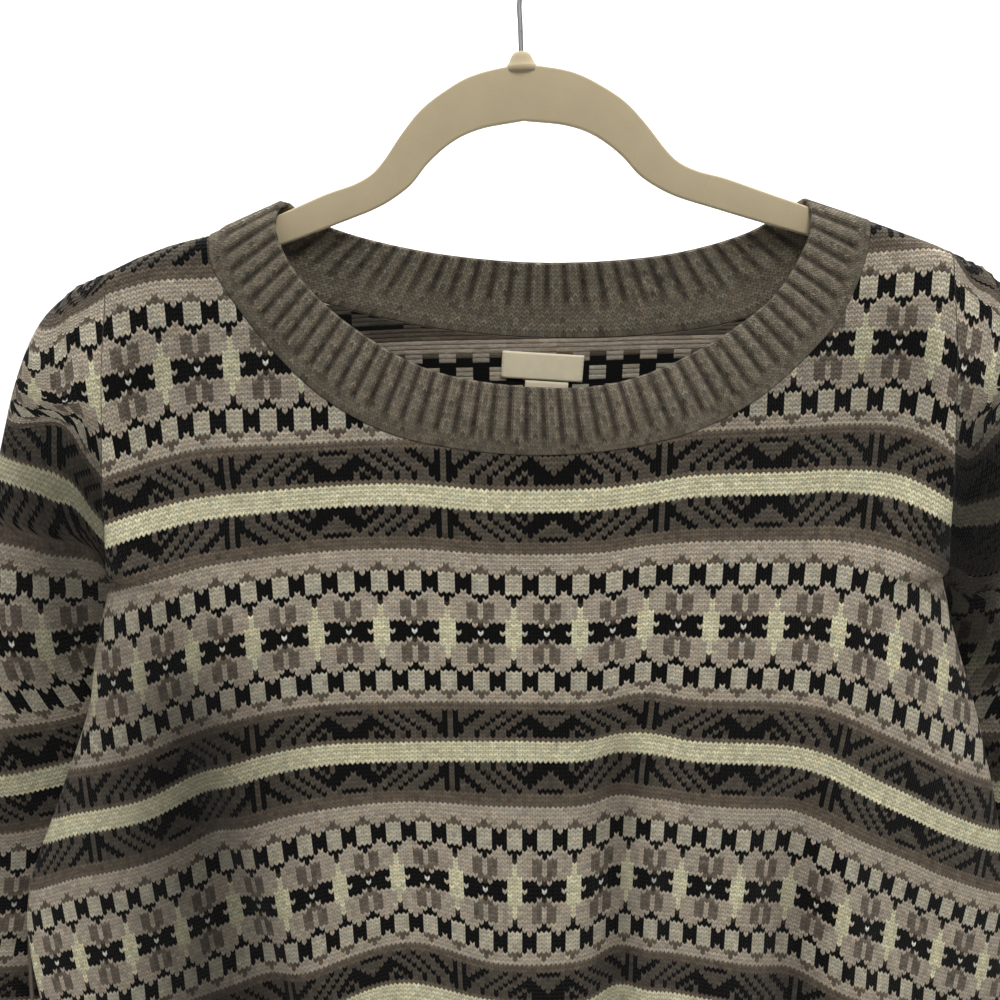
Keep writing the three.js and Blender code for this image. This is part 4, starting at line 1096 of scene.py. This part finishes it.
def label_threads():
    """Short stitches that hold the label's two ends."""
    width = LABEL[2]
    made = []
    for end in (-1, 1):
        for k in range(6):
            v = -0.42 + 0.84 * k / 5
            path = []
            for t, lift in ((-0.9, 0.2), (-0.35, 0.95), (0.35, 0.95), (0.9, 0.2)):
                u = end * (0.5 - 1.1 / width) + end * t * 0.9 / width
                x, z = on_tape(LABEL, u, v)
                at = panel_points(np.array(x), np.array(z), BACK)
                n = panel_normals(np.array([x]), np.array([z]), BACK)[0]
                path.append(at - n * (WALL + SEAM_GAP + lift))
            made.append(tube(f"label_stitch_{end}_{k}", path, 0.16, sides=6))
    return joined("label_stitches", made)


def joined(name, objects):
    bpy.ops.object.select_all(action="DESELECT")
    for obj in objects:
        obj.select_set(True)
    bpy.context.view_layer.objects.active = objects[0]
    bpy.ops.object.join()
    objects[0].name = name
    return objects[0]


# Hanger
def leaned(points):
    """Turns points about the loop's centre, as the hanger leans."""
    angle = math.radians(HANGER_TILT)
    p = np.asarray(points, float)
    x = p[..., 0] * math.cos(angle) - p[..., 2] * math.sin(angle)
    z = p[..., 0] * math.sin(angle) + p[..., 2] * math.cos(angle)
    return np.stack([x, p[..., 1], z], axis=-1)


def hanger_outline():
    right_top = catmull([(0, -68.6), *HANGER_TOP], samples=8)[:-1]
    tip = catmull([HANGER_TOP[-1], *HANGER_TIP, HANGER_UNDERSIDE[0]], samples=4)[:-1]
    under = catmull([*HANGER_UNDERSIDE, HANGER_CROWN], samples=8)
    right = np.concatenate([right_top, tip, under])
    left = right[1:-1][::-1] * (-1, 1)
    outline = np.concatenate([right, left])
    keep = np.linalg.norm(outline - np.roll(outline, 1, axis=0), axis=1) > 0.05
    return outline[keep]


def hanger():
    """The flat arch and arms, with softly rounded edges under the flock."""
    outline = hanger_outline()
    before, after = np.roll(outline, 1, axis=0), np.roll(outline, -1, axis=0)
    tangent = after - before
    normal = np.stack([-tangent[:, 1], tangent[:, 0]], 1)
    normal /= np.linalg.norm(normal, axis=1, keepdims=True)
    area = (outline[:, 0] * after[:, 1] - after[:, 0] * outline[:, 1]).sum()
    if area > 0:
        normal = -normal
    half = HANGER_THICKNESS / 2
    loops = [(inset, -half + rise * HANGER_EDGE) for inset, rise in HANGER_ROUND]
    loops += [(inset, -y) for inset, y in loops[::-1]]
    rings = []
    for inset, y in loops:
        xz = outline - normal * inset
        rings.append(np.stack([xz[:, 0], np.full(len(xz), y), xz[:, 1]], 1))
    points = leaned(np.array(rings))
    count = len(outline)
    quads = grid_quads(len(rings), count, closed=True)
    obj = mesh_object("hanger_flocked", points.reshape(-1, 3), quads)
    add_caps(obj, [list(range(count)), list(range((len(rings) - 1) * count, len(rings) * count))[::-1]])
    return obj


def add_caps(obj, caps):
    """Fills whole rings of points with one flat face each."""
    work = bmesh.new()
    work.from_mesh(obj.data)
    work.verts.ensure_lookup_table()
    for cap in caps:
        face = work.faces.new([work.verts[k] for k in cap])
        face.smooth = True
    bmesh.ops.recalc_face_normals(work, faces=work.faces)
    bmesh.ops.triangulate(work, faces=[f for f in work.faces if len(f.verts) > 4])
    work.to_mesh(obj.data)
    work.free()


def collar():
    """The knob that holds the hook, rising out of the hanger's crown."""
    profile = catmull(COLLAR_PROFILE[:7], samples=4)
    profile = np.concatenate([profile, np.array(COLLAR_PROFILE[7:])])
    angle = np.linspace(0, 2 * math.pi, 40, endpoint=False)
    points = np.stack([
        profile[:, :1] * np.cos(angle)[None], profile[:, :1] * np.sin(angle)[None] * KNOB_FLATNESS,
        profile[:, 1:] * np.ones_like(angle)[None],
    ], axis=-1)
    quads = grid_quads(len(profile), 40, closed=True)
    return mesh_object("hook_knob", leaned(points).reshape(-1, 3), quads)


def hook():
    reach = LOOP_RADIUS + WIRE_RADIUS
    angles = np.radians(np.linspace(LOOP_START, LOOP_END, 17))
    path = [(x, 0, z) for x, z in STEM_POINTS]
    path += [(reach * math.cos(a), 0, reach * math.sin(a)) for a in angles]
    return tube("hook_wire", leaned(catmull(path, samples=6)), WIRE_RADIUS, sides=20)


# Materials
class Nodes:
    """Short calls for a material's node tree."""

    def __init__(self, name):
        self.material = bpy.data.materials.new(name)
        self.material.use_nodes = True
        self.tree = self.material.node_tree
        self.tree.nodes.clear()
        self.out = self.tree.nodes.new("ShaderNodeOutputMaterial")

    def add(self, kind, inputs=None, **settings):
        node = self.tree.nodes.new(kind)
        for key, value in settings.items():
            setattr(node, key, value)
        for key, value in (inputs or {}).items():
            self.put(node.inputs[key], value)
        return node

    def put(self, socket, value):
        if isinstance(value, bpy.types.NodeSocket):
            self.tree.links.new(value, socket)
        else:
            socket.default_value = value

    def math(self, operation, a, b=None, c=None):
        inputs = {0: a}
        if b is not None:
            inputs[1] = b
        if c is not None:
            inputs[2] = c
        return self.add("ShaderNodeMath", inputs, operation=operation).outputs[0]

    def noise(self, scale, detail, vector, roughness=0.55):
        inputs = {"Scale": scale, "Detail": detail, "Roughness": roughness, "Vector": vector}
        return self.add("ShaderNodeTexNoise", inputs).outputs["Fac"]

    def mapped(self, value, low, high, to_low, to_high):
        node = self.add("ShaderNodeMapRange", {"Value": value, "From Min": low, "From Max": high,
                                               "To Min": to_low, "To Max": to_high})
        return node.outputs["Result"]

    def tinted(self, colour, factor):
        """The colour times a grey value."""
        grey = self.add("ShaderNodeCombineColor", {"Red": factor, "Green": factor, "Blue": factor}).outputs[0]
        node = self.add("ShaderNodeMix", {0: 1.0}, data_type="RGBA", blend_type="MULTIPLY")
        self.put(node.inputs[6], colour)
        self.put(node.inputs[7], grey)
        return node.outputs[2]

    def rounded(self, v):
        """A round strand across v: low at 0 and 1, high between."""
        across = self.math("MULTIPLY_ADD", v, 2.0, -1.0)
        rest = self.math("SUBTRACT", 1.0, self.math("MULTIPLY", across, across))
        return self.math("POWER", self.math("MAXIMUM", rest, 0.0), 0.6)

    def finish(self, inputs):
        shader = self.add("ShaderNodeBsdfPrincipled", inputs)
        self.tree.links.new(shader.outputs[0], self.out.inputs["Surface"])
        return self.material


def yarn_material(name, leg_edge_painted_shade, bump_depth, twist=0.12, fuzz=0.35):
    """Wool yarn in stitches: a rounded leg to each face, its plies, fuzz and a soft sheen."""
    n = Nodes(name)
    place = n.add("ShaderNodeTexCoord").outputs["Object"]
    uv = n.add("ShaderNodeUVMap", uv_map="Stitch").outputs["UV"]
    split = n.add("ShaderNodeSeparateXYZ", {"Vector": uv})
    u, v = split.outputs[0], split.outputs[1]
    round_leg = n.rounded(v)
    far = n.math("ABSOLUTE", n.math("MULTIPLY_ADD", u, 2.0, -1.0))
    taper = n.math("SUBTRACT", 1.0, n.math("POWER", far, 5.0))
    leg = n.math("MULTIPLY", round_leg, n.mapped(taper, 0.0, 1.0, 0.45, 1.0))
    ply = n.math("SINE", n.math("ADD", n.math("MULTIPLY", v, 9.0), n.math("MULTIPLY", u, 7.0)))
    fibre = n.noise(2600.0, 2.0, place, 0.6)
    heather = n.noise(520.0, 3.0, place, 0.6)
    patch = n.noise(28.0, 2.0, place, 0.5)
    height = n.math("ADD", leg, n.math("MULTIPLY", ply, twist))
    height = n.math("ADD", height, n.math("MULTIPLY", fibre, fuzz))
    bump = n.add("ShaderNodeBump", {"Strength": 1.0, "Distance": bump_depth, "Height": height})
    yarn = n.add("ShaderNodeAttribute", attribute_name="yarn").outputs["Color"]
    # Painted shade darkens each leg towards its edges, where it tucks under its neighbours, with a faint
    # painted highlight along its crown; the noises below vary the yarn's own tone
    shade = n.mapped(leg, 0.0, 1.0, leg_edge_painted_shade, 1.08)
    shade = n.math("MULTIPLY", shade, n.mapped(heather, 0.3, 0.7, 0.84, 1.16))
    shade = n.math("MULTIPLY", shade, n.mapped(fibre, 0.3, 0.7, 0.86, 1.14))
    shade = n.math("MULTIPLY", shade, n.mapped(patch, 0.3, 0.7, 0.96, 1.04))
    colour = n.tinted(yarn, shade)
    return n.finish({
        "Base Color": colour, "Roughness": 0.95, "Specular IOR Level": 0.08, "Sheen Weight": 0.05,
        "Sheen Roughness": 0.5, "Normal": bump.outputs[0],
    })


def inside_material():
    """The wrong side of the knitting: level rows of loops and floats."""
    n = Nodes("knit inside")
    place = n.add("ShaderNodeTexCoord").outputs["Object"]
    uv = n.add("ShaderNodeUVMap", uv_map="Stitch").outputs["UV"]
    v = n.add("ShaderNodeSeparateXYZ", {"Vector": uv}).outputs[1]
    loop = n.rounded(v)
    squeezed = n.add("ShaderNodeMapping", {"Vector": place, "Scale": (330.0, 330.0, 900.0)}).outputs[0]
    streak = n.noise(1.0, 3.0, squeezed, 0.6)
    fibre = n.noise(2200.0, 2.0, place, 0.6)
    height = n.math("ADD", n.math("MULTIPLY", loop, 0.7), streak)
    bump = n.add("ShaderNodeBump", {"Strength": 0.9, "Distance": 0.0008, "Height": height})
    yarn = n.add("ShaderNodeAttribute", attribute_name="yarn").outputs["Color"]
    # Painted shade between the rows of loops; the streaks and fibres vary the yarn's own tone
    shade = n.math("MULTIPLY", n.mapped(loop, 0.0, 1.0, 0.62, 1.0), n.mapped(streak, 0.3, 0.7, 0.8, 1.2))
    shade = n.math("MULTIPLY", shade, n.mapped(fibre, 0.3, 0.7, 0.88, 1.12))
    return n.finish({
        "Base Color": n.tinted(yarn, shade), "Roughness": 0.96, "Specular IOR Level": 0.12,
        "Sheen Weight": 0.15, "Normal": bump.outputs[0],
    })


def label_material():
    """Plain woven tape: fine warp and weft, satin, its tone a little uneven."""
    n = Nodes("woven tape")
    uv = n.add("ShaderNodeUVMap", uv_map="Stitch").outputs["UV"]
    split = n.add("ShaderNodeSeparateXYZ", {"Vector": uv})
    warp = n.math("SINE", n.math("MULTIPLY", split.outputs[0], 18.0))
    weft = n.math("SINE", n.math("MULTIPLY", split.outputs[1], 24.0))
    weave = n.math("ADD", n.math("MULTIPLY", warp, 0.35), n.math("MULTIPLY", weft, 0.65))
    place = n.add("ShaderNodeTexCoord").outputs["Object"]
    dirt = n.noise(180.0, 3.0, place)
    bump = n.add("ShaderNodeBump", {"Strength": 0.35, "Distance": 0.00012, "Height": weave})
    shade = n.math("MULTIPLY", n.mapped(weave, -1.0, 1.0, 0.93, 1.04), n.mapped(dirt, 0.3, 0.7, 0.95, 1.03))
    return n.finish({
        "Base Color": n.tinted((*linear(TAPE_COLOUR), 1.0), shade), "Roughness": 0.55,
        "Specular IOR Level": 0.35, "Sheen Weight": 0.2, "Normal": bump.outputs[0],
    })


def flock_material():
    """Beige flocking: very short dense fibres, matte, its tone a little uneven."""
    n = Nodes("flocking")
    place = n.add("ShaderNodeTexCoord").outputs["Object"]
    pile = n.noise(3000.0, 2.0, place, 0.7)
    cloud = n.noise(60.0, 3.0, place, 0.6)
    bump = n.add("ShaderNodeBump", {"Strength": 0.5, "Distance": 0.0002, "Height": pile})
    shade = n.math("MULTIPLY", n.mapped(pile, 0.3, 0.7, 0.93, 1.07), n.mapped(cloud, 0.3, 0.7, 0.97, 1.03))
    return n.finish({
        "Base Color": n.tinted((*linear(FLOCK_COLOUR), 1.0), shade), "Roughness": 1.0,
        "Specular IOR Level": 0.1, "Sheen Weight": 0.35, "Sheen Roughness": 0.4, "Normal": bump.outputs[0],
    })


def steel_material():
    n = Nodes("plated wire")
    place = n.add("ShaderNodeTexCoord").outputs["Object"]
    wear = n.noise(240.0, 4.0, place, 0.6)
    rough = n.mapped(wear, 0.3, 0.7, 0.24, 0.38)
    return n.finish({"Base Color": STEEL_COLOUR, "Metallic": 0.9, "Roughness": rough})


def plain_material(name, colour):
    n = Nodes(name)
    return n.finish({"Base Color": (*colour, 1.0), "Roughness": 0.9, "Specular IOR Level": 0.2})


def dress(obj, material):
    obj.data.materials.clear()
    obj.data.materials.append(material)
    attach(obj, "root")
    return obj


# Stage
def stage():
    """A pale floor that turns up into a pale wall, far behind the jumper."""
    profile = [(FLOOR_FRONT, FLOOR_Z), (FLOOR_BEND_Y, FLOOR_Z)]
    for k in range(1, 10):
        a = math.radians(10 * k)
        profile.append((FLOOR_BEND_Y + FLOOR_BEND_RADIUS * math.sin(a),
                        FLOOR_Z + FLOOR_BEND_RADIUS * (1 - math.cos(a))))
    profile.append((FLOOR_BEND_Y + FLOOR_BEND_RADIUS, WALL_TOP))
    xs = np.linspace(-4, 4, 3)
    points = np.array([[(x * 1000, y * 1000, z * 1000 + LOOP_RADIUS) for x in xs] for y, z in profile])
    floor = mesh_object("floor", points.reshape(-1, 3), grid_quads(len(profile), 3, flip=True))
    floor.data.materials.append(plain_material("pale floor", FLOOR_COLOUR))


def area_light(name, at, aim, size, power):
    data = bpy.data.lights.new(name, "AREA")
    data.shape = "SQUARE"
    data.size = size
    data.energy = power
    lamp = bpy.data.objects.new(name, data)
    lamp.location = at
    lamp.rotation_euler = (Vector(aim) - Vector(at)).to_track_quat("-Z", "Y").to_euler()
    bpy.context.scene.collection.objects.link(lamp)


def lighting():
    world = bpy.data.worlds.new("soft light")
    world.use_nodes = True
    background = world.node_tree.nodes["Background"]
    background.inputs["Color"].default_value = WORLD_COLOUR
    background.inputs["Strength"].default_value = WORLD_STRENGTH
    bpy.context.scene.world = world
    for light in LIGHTS:
        area_light(*light)


def camera():
    data = bpy.data.cameras.new("camera")
    data.lens = CAMERA_LENS
    data.sensor_width = CAMERA_SENSOR
    data.clip_start = 0.01
    data.clip_end = 20
    cam = bpy.data.objects.new("camera", data)
    cam.location = CAMERA_AT
    cam.rotation_euler = (Vector(CAMERA_AIM) - Vector(CAMERA_AT)).to_track_quat("-Z", "Y").to_euler()
    bpy.context.scene.collection.objects.link(cam)
    bpy.context.scene.camera = cam


def cloth_pieces():
    knit = yarn_material("fair isle knit", 0.5, 0.0007)
    rib = yarn_material("ribbed knit", 0.55, 0.0006)
    wrong_side = inside_material()
    for name, panel, seed in (("front", FRONT, 11), ("back", BACK, 12)):
        outer = dress(knitted_panel(name + "_knit", panel, seed), knit)
        inner = dress(panel_inside(name + "_inside", panel, seed + 20), wrong_side)
        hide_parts(name)
    for name, side, seed in (("sleeve_left", -1, 13), ("sleeve_right", 1, 14)):
        outer = dress(knitted_sleeve(name + "_knit", side, seed), knit)
        inner = dress(sleeve_inside(name + "_inside", side, seed + 20), wrong_side)
        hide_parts(name)
    band = dress(neckband(), rib)
    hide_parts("neckband")
    for name, panel, seed in (("hem_rib_front", FRONT, 15), ("hem_rib_back", BACK, 16)):
        piece = dress(hem_rib(name + "_knit", panel, seed), rib)
        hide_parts(name)
    for name, side, seed in (("cuff_left", -1, 17), ("cuff_right", 1, 18)):
        piece = dress(cuff(name + "_knit", side, seed), rib)
        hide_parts(name)


def trims():
    tape = label_material()
    label = dress(label_patch("label_tape", LABEL, 0.5), tape)
    tab = dress(label_patch("size_tab_tape", SIZE_TAB, 0.2), tape)
    threads = dress(label_threads(), plain_material("label thread", linear(THREAD_COLOUR)))
    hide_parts("label")
    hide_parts("size_tab")


def hanging_gear():
    flock = flock_material()
    for obj, node in ((hanger(), "hanger"), (collar(), "hook_collar")):
        dress(obj, flock)
        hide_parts(node)
    wire = dress(hook(), steel_material())
    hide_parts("hook")


def plain(box):
    return [[float(v) for v in corner] for corner in box]


def main():
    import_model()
    hanging_gear()
    cloth_pieces()
    trims()
    stage()
    lighting()
    camera()
    bpy.context.scene.view_settings.view_transform = "Standard"


main()
